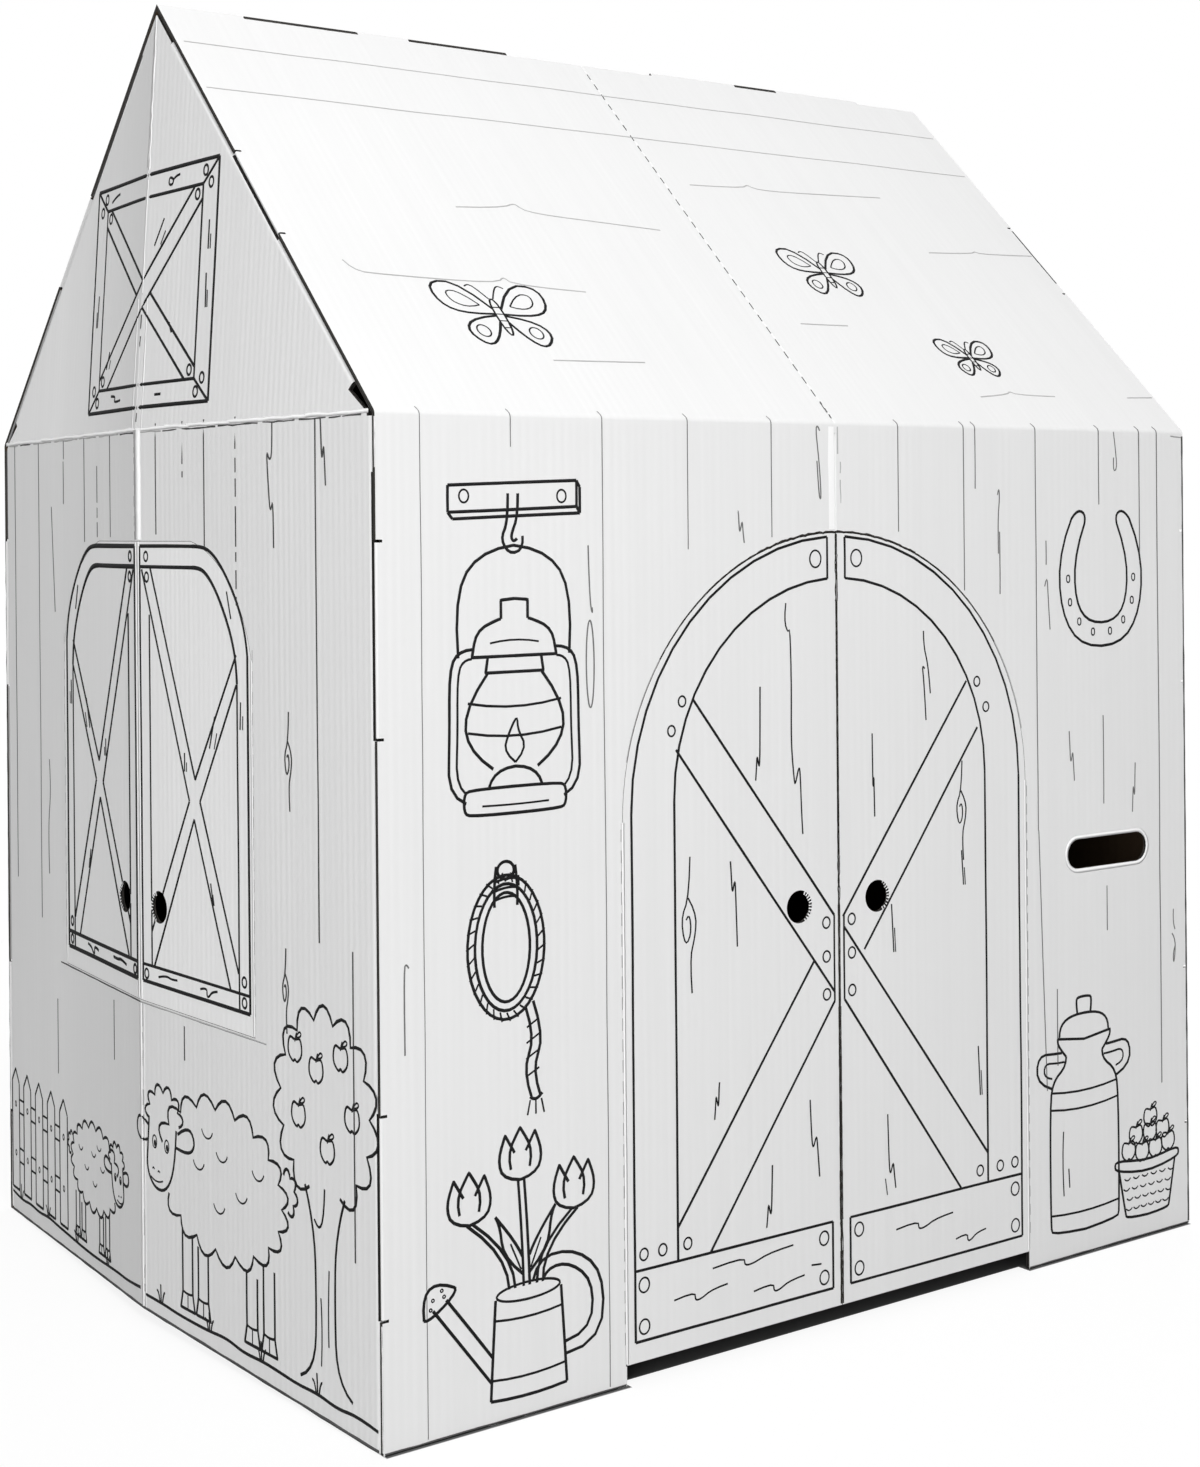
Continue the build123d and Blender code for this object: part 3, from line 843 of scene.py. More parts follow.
def left_door_grain(pen):
    """Drawn grain of the left leaf."""
    long_grain = [(-51, 556), (-53, 543), (-49, 533), (-47, 538), (-46, 490), (-47, 450), (-44, 420),
                  (-43, 418), (-39, 433), (-38, 425), (-37, 395), (-36, 380)]
    pen.stroke(long_grain, GRAIN)
    split(pen, -77, 494, 436, 424, jump=-5)
    knot(pen, -148, 323)
    split(pen, -107, 366, 345, 302)
    split(pen, -119, 204, 188, 177, jump=-5)
    split(pen, -31, 177, 142, 117, jump=9)
    split(pen, -69, 134, 99, 88, jump=-6)
    lying_grain(pen, -127, 68, 78)
    lying_grain(pen, -163, 52, 50)
    lying_grain(pen, -88, 43, 50)
    pen.stroke([(-31, 51), (-21, 50)], GRAIN)


def right_door_grain(pen):
    """Drawn grain of the right leaf."""
    pen.stroke([(92, 530), (92, 517), (97, 503), (99, 480)], GRAIN)
    pen.stroke([(93, 500), (90, 504), (92, 492), (94, 459)], GRAIN)
    split(pen, 36, 452, 412, 387, jump=2)
    knot(pen, 131, 384, 0.8)
    split(pen, 49, 153, 108, 94, jump=8)
    pen.stroke([(46, 103), (48, 90)], TICK)
    nick(pen, 149, 172, 40, 2)
    nick(pen, 132, 338, 28, 2)
    nick(pen, 55, 298, 38, 2)
    lying_grain(pen, 57, 61, 62)
    lying_grain(pen, 122, 41, 34)


# Window shutters

SHUTTER_OUTER = 168.0
SHUTTER_STILE = 5.0
SHUTTER_HEAD = 603.0
SHUTTER_SILL = 265.0
RAIL = 15.0


def shutter_print(pen, mirrored):
    """Barn shutter: rounded frame, crossed braces and rivets."""
    pen.move(mirrored=mirrored)
    head = SHUTTER_HEAD - RAIL - 1
    sill = SHUTTER_SILL + RAIL - 2
    band = SHUTTER_OUTER - RAIL
    shoulder = [(88, SHUTTER_HEAD), (100, SHUTTER_HEAD), (115, 600), (131, 589), (146, 573), (158, 556),
                (166, 537), (SHUTTER_OUTER, 524)]
    inner = [(88, head), (98, head), (109, 583), (122, 572), (135, 555), (146, 536), (152, 518),
             (band, 503)]
    pen.ruled((SHUTTER_STILE, SHUTTER_HEAD), (88, SHUTTER_HEAD), FRAME)
    pen.stroke(shoulder, FRAME)
    pen.ruled((SHUTTER_OUTER, 524), (SHUTTER_OUTER, SHUTTER_SILL), BOLD)
    pen.ruled((SHUTTER_OUTER, SHUTTER_SILL), (SHUTTER_STILE, SHUTTER_SILL), FRAME)
    pen.ruled((SHUTTER_STILE, SHUTTER_SILL), (SHUTTER_STILE, SHUTTER_HEAD), BOLD)
    pen.ruled((SHUTTER_STILE, head), (88, head), FRAME)
    pen.stroke(inner, BOLD)
    pen.ruled((band, 503), (band, SHUTTER_SILL), MEDIUM)
    pen.ruled((SHUTTER_OUTER, sill), (SHUTTER_STILE, sill), MEDIUM)
    stile = SHUTTER_STILE + RAIL
    for start, end in (
        ((stile, 550), (stile, sill)),
        ((8, 585), (81, 411)), ((22, 586), (90, 428)), ((88, 398), (140, 279)), ((97, 412), (152, 292)),
        ((152, 524), (90, 428)), ((152, 502), (97, 412)), ((81, 411), (20, 305)), ((88, 398), (24, 279)),
    ):
        pen.past_hole(start, end, (SHUTTER_HOLE, HOLE_HEIGHT))
    for u, v in ((15, 595), (16, 579), (11, 271), (160, 287), (160, 272)):
        rivet(pen, u, v, 0.75)
    for mark in (
        (139, 560, 20, 6), (158, 480, 20, -1), (120, 465, 24, -8), (74, 440, 14), (112, 345, 16, 4),
    ):
        nick(pen, *mark)
    lying_grain(pen, 95, 272, 26)
    lying_grain(pen, 30, 271, 30, kink=False)
    pen.move()


# The loft door of a gable peak

LOFT_HALF = 112.0
LOFT_INNER = 89.0
LOFT_FOOT = 711.0
LOFT_HEAD = 894.0
LOFT_BAND = 18.0


def meet(first, second):
    """Point where two straight lines cross, each given by two points."""
    (ax, ay), (bx, by) = first
    (cx, cy), (dx, dy) = second
    spread = (ax - bx) * (cy - dy) - (ay - by) * (cx - dx)
    one, two = ax * by - ay * bx, cx * dy - cy * dx
    return (one * (cx - dx) - (ax - bx) * two) / spread, (one * (cy - dy) - (ay - by) * two) / spread


def loft_print(pen):
    """Square loft door across the upright crease: mitred frame and crossed braces."""
    low, high = LOFT_FOOT + LOFT_BAND, LOFT_HEAD - LOFT_BAND
    outer = corners(-LOFT_HALF, LOFT_HALF, LOFT_FOOT, LOFT_HEAD)
    inner = corners(-LOFT_INNER, LOFT_INNER, low, high)
    pen.path(outer, FRAME, closed=True)
    pen.path(inner, closed=True)
    for start, end in zip(outer, inner):
        pen.ruled(start, end)
    front_high = ((-LOFT_INNER, low + 8), (LOFT_INNER - 12, high))
    front_low = ((-LOFT_INNER + 18, low), (LOFT_INNER, high - 11))
    behind_low = ((-LOFT_INNER, high - 13), (LOFT_INNER - 15, low))
    behind_high = ((-LOFT_INNER + 9, high), (LOFT_INNER, low + 9))
    pen.ruled(*front_high)
    pen.ruled(*front_low)
    for line in (behind_low, behind_high):
        pen.ruled(line[0], meet(line, front_high))
        pen.ruled(meet(line, front_low), line[1])
    middle = (low + high) / 2
    for mirrored in (False, True):
        pen.move(mirrored=mirrored)
        for v, rise in ((low, -1), (high, 1)):
            rivet(pen, LOFT_INNER + 3, v + 10 * rise, 0.8)
            rivet(pen, LOFT_INNER + 12, v, 0.8)
            rivet(pen, LOFT_INNER - 8, v - 7 * rise, 0.8)
        nick(pen, LOFT_INNER + 11, middle - 8, 26, 1)
    pen.move()
    for u, rise, length, lean in (
        (LOFT_INNER + 12, 34, 22, 0), (30, 44, 20, -14), (46, -32, 8, 4), (-68, -50, 14, -6),
    ):
        nick(pen, u, middle + rise, length, lean)
    for level, points in (
        (LOFT_HEAD, ((-80, -12), (-72, -8), (-62, -7))),
        (LOFT_HEAD, ((42, -9), (36, -5), (34, -12), (41, -13), (42, -7), (52, -6))),
        (LOFT_FOOT, ((-60, 12), (-48, 12), (-54, 6), (-38, 8))),
        (LOFT_FOOT, ((28, 9), (38, 9))),
    ):
        pen.stroke([(u, level + v) for u, v in points], GRAIN)


# Drawings of the farmyard, each from its own foot or middle

def both_ways(pen, width, *lines):
    """Strokes of one width, each with its mirror image about the drawing's own middle."""
    for points in lines:
        pen.stroke(points, width)
        pen.stroke([(-u, v) for u, v in points], width)


def strokes(pen, width, *lines):
    """Strokes of one width."""
    for points in lines:
        pen.stroke(points, width)


def lantern(pen):
    """Stable lantern hanging from a hook on a peg board."""
    pen.path([(-58, 226), (58, 230), (58, 250), (-58, 246)], BOLD, closed=True)
    pen.path([(-58, 226), (-54, 221), (61, 225), (58, 230)], BOLD)
    pen.ruled((61, 225), (61, 245), BOLD)
    pen.ruled((61, 245), (58, 250), BOLD)
    for u in (-44, 44):
        rivet(pen, u, 238)
    strokes(
        pen, BOLD,
        [(-5, 240), (-5, 218), (-12, 206), (-4, 194), (9, 198), (8, 208)],
        [(4, 240), (4, 222), (-3, 208), (0, 203), (3, 206)],
    )
    both_ways(
        pen, BOLD,
        [(50, 118), (54, 165), (30, 198), (0, 201)],
        [(0, 0), (40, 0), (46, 3), (46, 17), (40, 20), (0, 20)],
        [(24, 20), (20, 34), (0, 35)],
        [(20, 34), (42, 48), (46, 80), (24, 106)],
        [(0, 106), (26, 106), (26, 106), (24, 118)],
        [(0, 118), (38, 118), (38, 118), (34, 138), (14, 146), (12, 146)],
        [(12, 146), (12, 160), (12, 160), (0, 161)],
        [(44, 10), (60, 16), (58, 60), (58, 112), (48, 124), (37, 124)],
    )
    both_ways(pen, MEDIUM, [(44, 17), (53, 24), (51, 60), (51, 108), (44, 117), (38, 117)])
    strokes(
        pen, MEDIUM,
        [(-42, 62), (0, 54), (42, 62)],
        [(-42, 84), (0, 76), (42, 84)],
        [(0, 38), (-11, 46), (-6, 60), (2, 74), (2, 62), (11, 48), (0, 38)],
    )
    strokes(pen, GRAIN, [(-30, 7), (0, 6), (30, 7)], [(-22, 128), (0, 132), (22, 128)])


STRANDS = 30
TWIST = 0.09


def rope_coil(pen):
    """Coil of rope hung on a peg, its end hanging free."""
    for ring in range(3):
        pen.oval(0, 0, 42 - 8 * ring, 66 - 8 * ring, BOLD)
    for step in range(STRANDS):
        angle = 2 * math.pi * (step + 0.5) / STRANDS
        near = Vector((34 * math.cos(angle), 58 * math.sin(angle)))
        far = Vector((42 * math.cos(angle + TWIST), 66 * math.sin(angle + TWIST)))
        pen.stroke([near, far], GRAIN)
    pen.oval(0, 68, 9, 8, BOLD)
    both_ways(pen, BOLD, [(12, 36), (13, 52), (10, 72)])
    for v in (42, 50, 58):
        pen.stroke([(-12, v), (0, v + 4), (12, v + 2)], MEDIUM)
    strokes(pen, BOLD, [(20, -56), (30, -84), (16, -112), (26, -138)],
            [(28, -51), (40, -84), (26, -112), (35, -136)])
    for v in (-74, -88, -102, -118):
        pen.stroke([(24 + 0.04 * v, v), (34, v + 7)], GRAIN)
    pen.stroke([(24, -136), (30, -142), (37, -134)], BOLD)
    for u in (24, 30, 36):
        pen.stroke([(u, -139), (u + 1.5 * (u - 30) / 3, -152)], GRAIN)


def tulip(pen, height, lean=0.0, bloom=1.0, leaves=True):
    """Tulip with two long leaves or none."""
    for near, middle, far in ((-2, -3, -2), (3, 2, 3)):
        pen.stroke([(near, 0), (middle, 0.5 * height), (lean + far, height)])
    for side in (-1, 1) if leaves else ():
        reach = 34 * side * bloom
        tip = (reach + 4 * side, 0.7 * height)
        pen.stroke([(2 * side, 8), (0.9 * reach, 0.3 * height), (reach, 0.62 * height), tip])
        pen.stroke([(3 * side, 0.28 * height), (0.35 * reach, 0.42 * height), tip])
        pen.stroke([(4 * side, 0.16 * height), (0.6 * reach, 0.42 * height)], GRAIN)
    wide, tall = 25 * bloom, 52 * bloom
    for half in (-wide, wide):
        bulge = (lean + half * 1.2, height + 0.5 * tall)
        corner = (lean + half * 0.8, height + tall)
        inner = (lean + half * 0.3, height + 0.6 * tall)
        pen.stroke([(lean, height), (lean + half * 0.9, height + 2), bulge, corner, corner, inner])
    middle = ((-0.5, 0.25), (-0.7, 0.6), (0, 1.12), (0, 1.12), (0.7, 0.6), (0.5, 0.25))
    pen.stroke([(lean + x * wide, height + y * tall) for x, y in middle])


def watering_can(pen):
    """Watering can with a long spout to the left."""
    pen.stroke([(-36, 0), (0, -4), (36, 0)])
    pen.ruled((-36, 0), (-31, 78), BOLD)
    pen.ruled((36, 0), (31, 78), BOLD)
    pen.oval(0, 80, 31, 7)
    strokes(pen, MEDIUM, [(-35, 16), (0, 11), (35, 16)], [(-32, 62), (0, 57), (32, 62)])
    strokes(pen, BOLD, [(34, 22), (70, 22), (74, 78), (46, 104), (8, 104), (4, 86)],
            [(35, 32), (60, 34), (63, 74), (40, 94), (18, 94), (14, 86)])
    pen.ruled((-35, 14), (-88, 82), BOLD)
    pen.ruled((-34, 34), (-76, 88), BOLD)
    strokes(pen, BOLD, [(-96, 76), (-92, 74), (-66, 92), (-68, 96)],
            [(-96, 76), (-98, 94), (-84, 104), (-68, 96)])
    for u, v in ((-88, 90), (-80, 96), (-90, 83), (-78, 91)):
        pen.oval(u, v, 1.2, 1.2, 1.0)


def horseshoe(pen):
    """Horseshoe on a nail, its ends up."""
    both_ways(
        pen, BOLD,
        [(36, 58), (52, 30), (50, -20), (26, -50), (0, -50)],
        [(20, 54), (33, 28), (32, -12), (16, -30), (0, -30)],
        [(36, 58), (29, 66), (18, 62), (20, 54)],
    )
    for angle in (-75, -48, -20, 8):
        for turn in (-1, 1):
            u = turn * 41 * math.cos(math.radians(angle))
            v = 2 + 41 * math.sin(math.radians(angle))
            pen.stroke(corners(u - 2, u + 2, v - 3, v + 3), DETAIL, closed=True)


def milk_churn(pen):
    """Tall milk churn with a lid and two handles."""
    both_ways(pen, BOLD, [(0, -2), (40, 0), (42, 6), (42, 108), (38, 128), (22, 138), (22, 146)])
    strokes(pen, MEDIUM, [(-42, 16), (0, 11), (42, 16)], [(-42, 104), (0, 97), (42, 104)],
            [(-40, 118), (0, 112), (40, 118)])
    both_ways(
        pen, BOLD,
        [(22, 146), (32, 156), (32, 162), (32, 162), (0, 158)],
        [(30, 163), (30, 172), (16, 180), (0, 180)],
        [(8, 180), (10, 192), (6, 194), (0, 194)],
        [(40, 122), (58, 128), (56, 152), (34, 150), (27, 150)],
    )
    both_ways(pen, MEDIUM, [(39, 130), (49, 132), (48, 144), (34, 142), (24, 142)])
    strokes(pen, GRAIN, [(-26, 30), (-28, 60), (-26, 84)], [(-19, 36), (-20, 52)])


def apple(pen, u, v, size):
    """Apple with stalk and leaf."""
    fruit = ((0, 0.7), (-0.9, 1.1), (-1.2, -0.4), (-0.3, -1.2), (0, -0.8), (0.3, -1.2), (1.2, -0.4),
             (0.9, 1.1))
    stalk = ((0, 0.6), (0.1, 1.1), (0.3, 1.4))
    leaf = ((0.2, 1), (0.6, 1.6), (1.1, 1.4), (0.7, 1), (0.2, 1))
    pen.stroke(sized(u, v, size, fruit), MEDIUM, closed=True)
    pen.stroke(sized(u, v, size, stalk), DETAIL)
    pen.stroke(sized(u, v, size, leaf), GRAIN)


def apple_basket(pen):
    """Woven basket with apples heaped on it."""
    both_ways(pen, BOLD, [(0, -3), (34, -2), (36, 4), (46, 52)])
    rim = [(-50, 52), (0, 44), (50, 52), (53, 58), (50, 64), (0, 56), (-50, 64), (-53, 58)]
    pen.stroke(rim, closed=True)
    for row in range(4):
        v = 4 + 11 * row
        reach = 36 + 2.4 * row
        for step in range(6):
            u = -reach + 2 * reach * (step + 0.5 + 0.25 * (row % 2)) / 6
            pen.stroke([(u - 5, v + 5), (u, v), (u + 5, v + 5)], DETAIL)
    for u, v in ((-30, 72), (-8, 68), (14, 69), (35, 73), (-18, 88), (5, 88), (26, 88), (6, 104)):
        apple(pen, u, v, 10)


def butterfly(pen):
    """Butterfly seen from above, its wings spread."""
    pen.stroke([(0, -26), (-4, -14), (-4, 14), (0, 22), (4, 14), (4, -14)], MEDIUM, closed=True)
    both_ways(pen, DETAIL, [(2, 20), (8, 32), (14, 38), (18, 34)])
    both_ways(pen, BOLD, [(4, 8), (22, 40), (52, 38), (50, 10), (30, 0), (4, 2)],
              [(4, 0), (28, -4), (40, -20), (26, -38), (12, -26), (4, -8)])
    both_ways(pen, DETAIL, [(14, 12), (26, 28), (40, 28), (38, 14), (24, 8), (14, 12)])
    for turn in (-1, 1):
        pen.oval(turn * 24, -19, 6, 7, DETAIL)
    for v in (-14, -6, 2, 10):
        pen.stroke([(-3, v), (3, v)], TICK)


def sheep(pen):
    """Woolly sheep that faces left, standing on its own ground."""
    pen.scallops(8, 100, 82, 48, count=17, depth=9, start=-150, end=168)
    pen.scallops(-70, 128, 22, 17, count=6, depth=6, start=-10, end=195)
    strokes(
        pen, BOLD,
        [(-52, 122), (-54, 96), (-66, 76), (-84, 74), (-96, 86), (-94, 104), (-92, 124)],
        [(-50, 120), (-34, 130), (-24, 118), (-34, 108), (-52, 110)],
        [(-92, 118), (-108, 126), (-114, 112), (-104, 104), (-93, 108)],
    )
    for u in (-84, -66):
        pen.oval(u, 108, 3.2, 4.6, DETAIL)
        pen.oval(u + 0.5, 107, 0.8, 1.4, 2.0)
    for u, v in ((-86, 88), (-78, 87)):
        pen.stroke([(u - 1.5, v), (u, v + 2), (u + 1.5, v)], DETAIL)
    pen.stroke([(-90, 82), (-82, 78), (-72, 82)], DETAIL)
    for u, top in ((-44, 56), (-22, 48), (44, 48), (66, 58)):
        pen.ruled((u, top), (u, 12), BOLD)
        pen.ruled((u + 14, top - 2), (u + 14, 12), BOLD)
        pen.stroke([(u, 12), (u - 3, 0), (u - 3, 0), (u + 17, 0), (u + 17, 0), (u + 14, 12)])
        pen.stroke([(u, 12), (u + 7, 10), (u + 14, 12)], MEDIUM)
        pen.stroke([(u + 7, 10), (u + 7, 1)], GRAIN)
    pen.scallops(96, 112, 10, 12, count=4, depth=4, start=-80, end=110)
    for u, v in ((-20, 110), (12, 122), (38, 100), (8, 86), (60, 120), (-8, 134)):
        pen.arc(u, v, 8, 200, 340, DETAIL)


PICKET_PITCH = 33.0
PICKET_HEIGHT = 112.0


def picket_fence(pen, count):
    """Pointed pickets on two rails."""
    shoulder = PICKET_HEIGHT - 12
    for step in range(count):
        u = PICKET_PITCH * step
        tip = (u + 10, PICKET_HEIGHT)
        pen.path([(u, 4), (u, shoulder), tip, (u + 20, shoulder), (u + 20, 4), (u, 4)], BOLD)
        rivet(pen, u + 10, 36, 0.45)
        rivet(pen, u + 10, 80, 0.45)
        if step:
            for v in (30, 42, 74, 86):
                pen.ruled((u - PICKET_PITCH + 20, v), (u, v))


def apple_tree(pen):
    """Round apple tree."""
    both_ways(pen, BOLD, [(34, 0), (14, 8), (12, 60), (14, 112), (26, 138)])
    pen.stroke([(-14, 116), (-2, 100), (0, 140)], MEDIUM)
    pen.scallops(0, 196, 58, 62, count=13, depth=11, start=-70, end=250)
    strokes(pen, GRAIN, [(-6, 14), (-4, 40), (-6, 62)], [(4, 30), (3, 52), (5, 84)])
    for u, v in ((-34, 186), (4, 168), (36, 196), (-10, 222), (22, 236), (-38, 232)):
        apple(pen, u, v, 8.5)


def grass(pen, start, end, height, rise=0.0):
    """Ground line with tufts."""
    steps = int((end - start) / 24)
    points = []
    for step in range(steps + 1):
        share = step / steps
        level = height + rise * share + pen.hand.uniform(-2.5, 2.5)
        points.append((start + (end - start) * share, level))
    pen.stroke(points)
    for step in range(1, steps, 3):
        u, v = points[step]
        for lean in (-7, -1, 6):
            tip = (u + lean, v + 15 - abs(lean))
            pen.stroke([(u + 0.3 * lean, v), (u + 0.6 * lean, v + 9), tip], MEDIUM)


def wagon_wheel(pen):
    """Spoked wheel leaning on the wall."""
    for radius in (78, 68, 16, 7):
        pen.oval(0, 80, radius, radius)
    for spoke in range(10):
        angle = 2 * math.pi * spoke / 10 + 0.15
        along = Vector((math.cos(angle), math.sin(angle)))
        beside = Vector((-along.y, along.x)) * 3.5
        for turn in (-1, 1):
            near, far = [Vector((0, 80)) + along * reach + beside * turn for reach in (16, 67.5)]
            pen.ruled(near, far)


LADDER_HEIGHT = 520.0
RUNG_PITCH = 62


def ladder(pen):
    """Ladder with worn rungs."""
    for u in (-38, 28):
        pen.path([(u, 0), (u, LADDER_HEIGHT), (u + 10, LADDER_HEIGHT), (u + 10, 0)], BOLD, closed=True)
    for step in range(int(LADDER_HEIGHT / RUNG_PITCH)):
        v = 38 + RUNG_PITCH * step
        pen.ruled((-28, v), (28, v), BOLD)
        pen.ruled((-28, v + 11), (28, v + 11), BOLD)
        pen.stroke([(-14, v + 5), (2, v + 6), (12, v + 5)], GRAIN)


# Prints of the panels

def draw(pen, motif, u, v, size=1.0, mirrored=False, **details):
    """One drawing at its place."""
    pen.move(u, v, size, mirrored)
    motif(pen, **details)
    pen.move()


# Plank lines of a long wall: how far from its middle, and where they end
OUTER_PLANK = 372.0
INNER_PLANK = 221.0
PLANK_FOOT = 3.0

# Head of a plank line: how far past the eave, with its share of the lean aside
HOOK = ((-4.0, 0.0), (-1.5, 0.02), (0.0, 0.06), (1.5, 0.15), (3.0, 0.4), (5.5, 1.0))
HOOK_LEAN = -1.5


def wall_planks(pen, shorts, inner_foot=PLANK_FOOT, last_foot=PLANK_FOOT):
    """Plank lines of a long wall, each with its head over the eave bend, leaning aside on the roof."""
    longs = ((-OUTER_PLANK, PLANK_FOOT), (-INNER_PLANK, PLANK_FOOT), (INNER_PLANK, inner_foot),
             (OUTER_PLANK, last_foot))
    for u, low in longs + shorts:
        width = FINE * (0.82 + 0.26 * u / OUTER_PLANK)
        plank_line(pen, u, EAVE - 4, low, width)
        pen.stroke([(u + HOOK_LEAN * share, EAVE + past) for past, share in HOOK], width, tone=1)


def front_print():
    """Front wall round the door."""
    pen = Pen("front_wall_print")
    shorts = ((-299, 671), (-144, 598), (-64, 606), (66, 609), (138, 561), (151, 643), (298, 630),
              (349, 579))
    wall_planks(pen, shorts, 360.0, 128.0)
    pen.ruled((221.5, 360), (229, 143), FINE * 0.97, tone=1)
    pen.thin([(-15.5, 687), (-17.5, 691.5), (-19.5, 689), (-18, 676), (-16, 660), (-14.5, 637),
              (-15.5, 634), (-17, 640), (-18.5, 664)])
    split(pen, -97, 626, 612, 602, tone=1)
    pen.thin([(176.5, 638), (178, 645), (179, 636), (176.5, 618), (177, 590)])
    plank_line(pen, 178.5, 608, 557)
    plank_line(pen, 233, 600, 580)
    pen.thin([(231, 562), (234, 573), (235, 553), (237, 526)])
    pen.thin([(317, 692), (320, 674), (321, 660), (316, 658), (317, 670)])
    plank_line(pen, 242, 226, 162)
    pen.thin([(-234, 602), (-233, 560), (-230, 552), (-231, 558)])
    pen.oval(-233, 518, 3.5, 32, FINE, tone=1)
    split(pen, 259, 440, 416, 398, tone=1)
    plank_line(pen, 301, 451, 376)
    split(pen, 341, 408, 382, 366, jump=-4, tone=1)
    plank_line(pen, 304, 306, 268)
    pen.thin([(389, 277), (388, 264), (391, 259)])
    pen.thin([(387, 256), (391, 251), (391, 240), (389, 228), (388, 239), (391, 245)])
    pen.thin([(-384, 321), (-386, 325), (-388, 320), (-387.5, 263)])
    draw(pen, lantern, -297, 418, 0.92)
    draw(pen, rope_coil, -306, 326, 0.78)
    draw(pen, watering_can, -290, 16, 0.88)
    for u, height, lean in ((-304, 50, -34), (-292, 74, -4), (-281, 46, 30)):
        draw(pen, tulip, u, 90, height=height, lean=lean, bloom=0.62, leaves=abs(lean) < 10)
    draw(pen, horseshoe, 300, 560)
    draw(pen, milk_churn, 274, 22)
    draw(pen, apple_basket, 352, 20, 0.78)
    pen.lay("front", "house")


def back_print():
    """Back wall: planks, a ladder, a wheel and flowers."""
    pen = Pen("back_wall_print")
    wall_planks(pen, ((-299, 640), (-144, 560), (-64, 607), (66, 590), (140, 520), (298, 655)))
    for u, v in ((-180, 480), (96, 300), (330, 560)):
        knot(pen, u, v, tone=1)
    for u, top, kink, foot in ((-40, 520, 470, 430), (180, 420, 380, 330), (-260, 250, 215, 160)):
        split(pen, u, top, kink, foot, tone=1)
    draw(pen, ladder, -297, 30)
    draw(pen, wagon_wheel, 120, 14, 1.05)
    draw(pen, tulip, -160, 14, height=200, lean=-6)
    draw(pen, tulip, -96, 14, height=150, lean=8, bloom=0.9)
    draw(pen, lantern, 297, 400, 0.92)
    draw(pen, milk_churn, 292, 20)
    pen.lay("back", "house")


def door_prints():
    """Print of both door leaves, each on its own body."""
    for (leaf, side), grain in zip(DOORS, (left_door_grain, right_door_grain)):
        pen = Pen(f"{leaf}_print")
        door_print(pen, side)
        grain(pen)
        pen.lay("front", leaf)


def roof_lines(pen):
    """Long and short shingle lines of a roof slope."""
    for s, start, end in ((426, -400, 402), (365, -402, 402)):
        pen.ruled((start, s), (end, s), FINE, tone=1, unsteady=0.8)
    pen.thin([(-236, 239), (-190, 243), (-176, 252), (-172, 240), (-110, 236), (-42, 232)])
    pen.thin([(-366, 162), (-362, 150), (-340, 148), (-240, 146), (-232, 156), (-228, 145), (-162, 143)])
    pen.ruled((-233, 60), (-149, 62), FINE, tone=1)
    pen.thin([(28, 302), (90, 305), (96, 312), (104, 304), (180, 308), (256, 313)])
    pen.thin([(263, 234), (322, 238), (326, 243), (330, 238), (402, 243)])
    pen.thin([(185, 37), (220, 41), (225, 46), (230, 41), (277, 41)])
    pen.ruled((40, 120), (92, 121), FINE, tone=1)
    pen.ruled((370, 43), (404, 44.5), FINE, tone=1)


# Place and size of the butterflies on each roof slope, and whether they are mirrored
BUTTERFLIES = {
    "front": ((-256, 108, 0.95, False), (112, 190, 0.8, True), (210, 86, 0.62, False)),
    "back": ((240, 130, 0.95, False), (-150, 210, 0.7, False)),
}


def roof_prints():
    """Both roof slopes with their butterflies."""
    for half, spots in BUTTERFLIES.items():
        pen = Pen(f"{half}_roof_print", (BLACK_INK, FAINT_LINES))
        roof_lines(pen)
        for spot in spots:
            draw(pen, butterfly, *spot)
        pen.lay(f"{half}_roof", "house")


# Plank lines of a gable: u, head and foot
GABLE_HEAD = EAVE - 2
SOLID_PLANKS = (
    (32, EAVE + 4, 612), (107, EAVE + 4, 603), (262, GABLE_HEAD, 330), (-307, GABLE_HEAD, 305),
    (-240, GABLE_HEAD, 278), (-121, GABLE_HEAD, 606), (-59, GABLE_HEAD, 610), (-174, 674, 638),
)
BROKEN_PLANKS = ((74, EAVE + 4, 655), (153, EAVE + 4, 560), (-90, 668, 610), (-173, GABLE_HEAD, 676))
SHORT_PLANKS = ((70, 240, 214), (-60, 238, 190), (-200, 214, 150), (304, 330, 120))


def gable_print(name):
    """Gable sheet: planks, loft door, sheep, fence and apple tree."""
    pen = Pen(f"{name}_gable_print", (BLACK_INK, DARK_GREY_LINES), rounds=4, weight=GABLE_WEIGHT)
    loft_print(pen)
    for plank in SOLID_PLANKS:
        plank_line(pen, *plank)
    for u, head, foot in BROKEN_PLANKS:
        pen.broken((u, head), (u, foot))
    pen.thin([(205, GABLE_HEAD), (205, 668), (201, 664), (197, 673), (200, 640), (202, 626), (206, 640),
              (206, 602)])
    split(pen, 269, GABLE_HEAD, 666, 645, tone=1)
    pen.thin([(-206, 636), (-203, 600), (-198, 546)])
    pen.thin([(-217, 418), (-213, 391), (-222, 360), (-219, 319)])
    knot(pen, 222, 452, 0.7, tone=1)
    knot(pen, 216, 290, 0.6, tone=1)
    for plank in SHORT_PLANKS:
        plank_line(pen, *plank)
    pen.weight = MOTIF_WEIGHT
    draw(pen, sheep, 112, 26, 1.08)
    draw(pen, sheep, -104, 24, 0.66, True)
    draw(pen, apple_tree, 266, 24, 0.98)
    draw(pen, picket_fence, -330, 18, count=5)
    grass(pen, 5, 330, 20, -4)
    grass(pen, -330, -5, 16, 5)
    pen.lay(f"{name}_gable", "house")


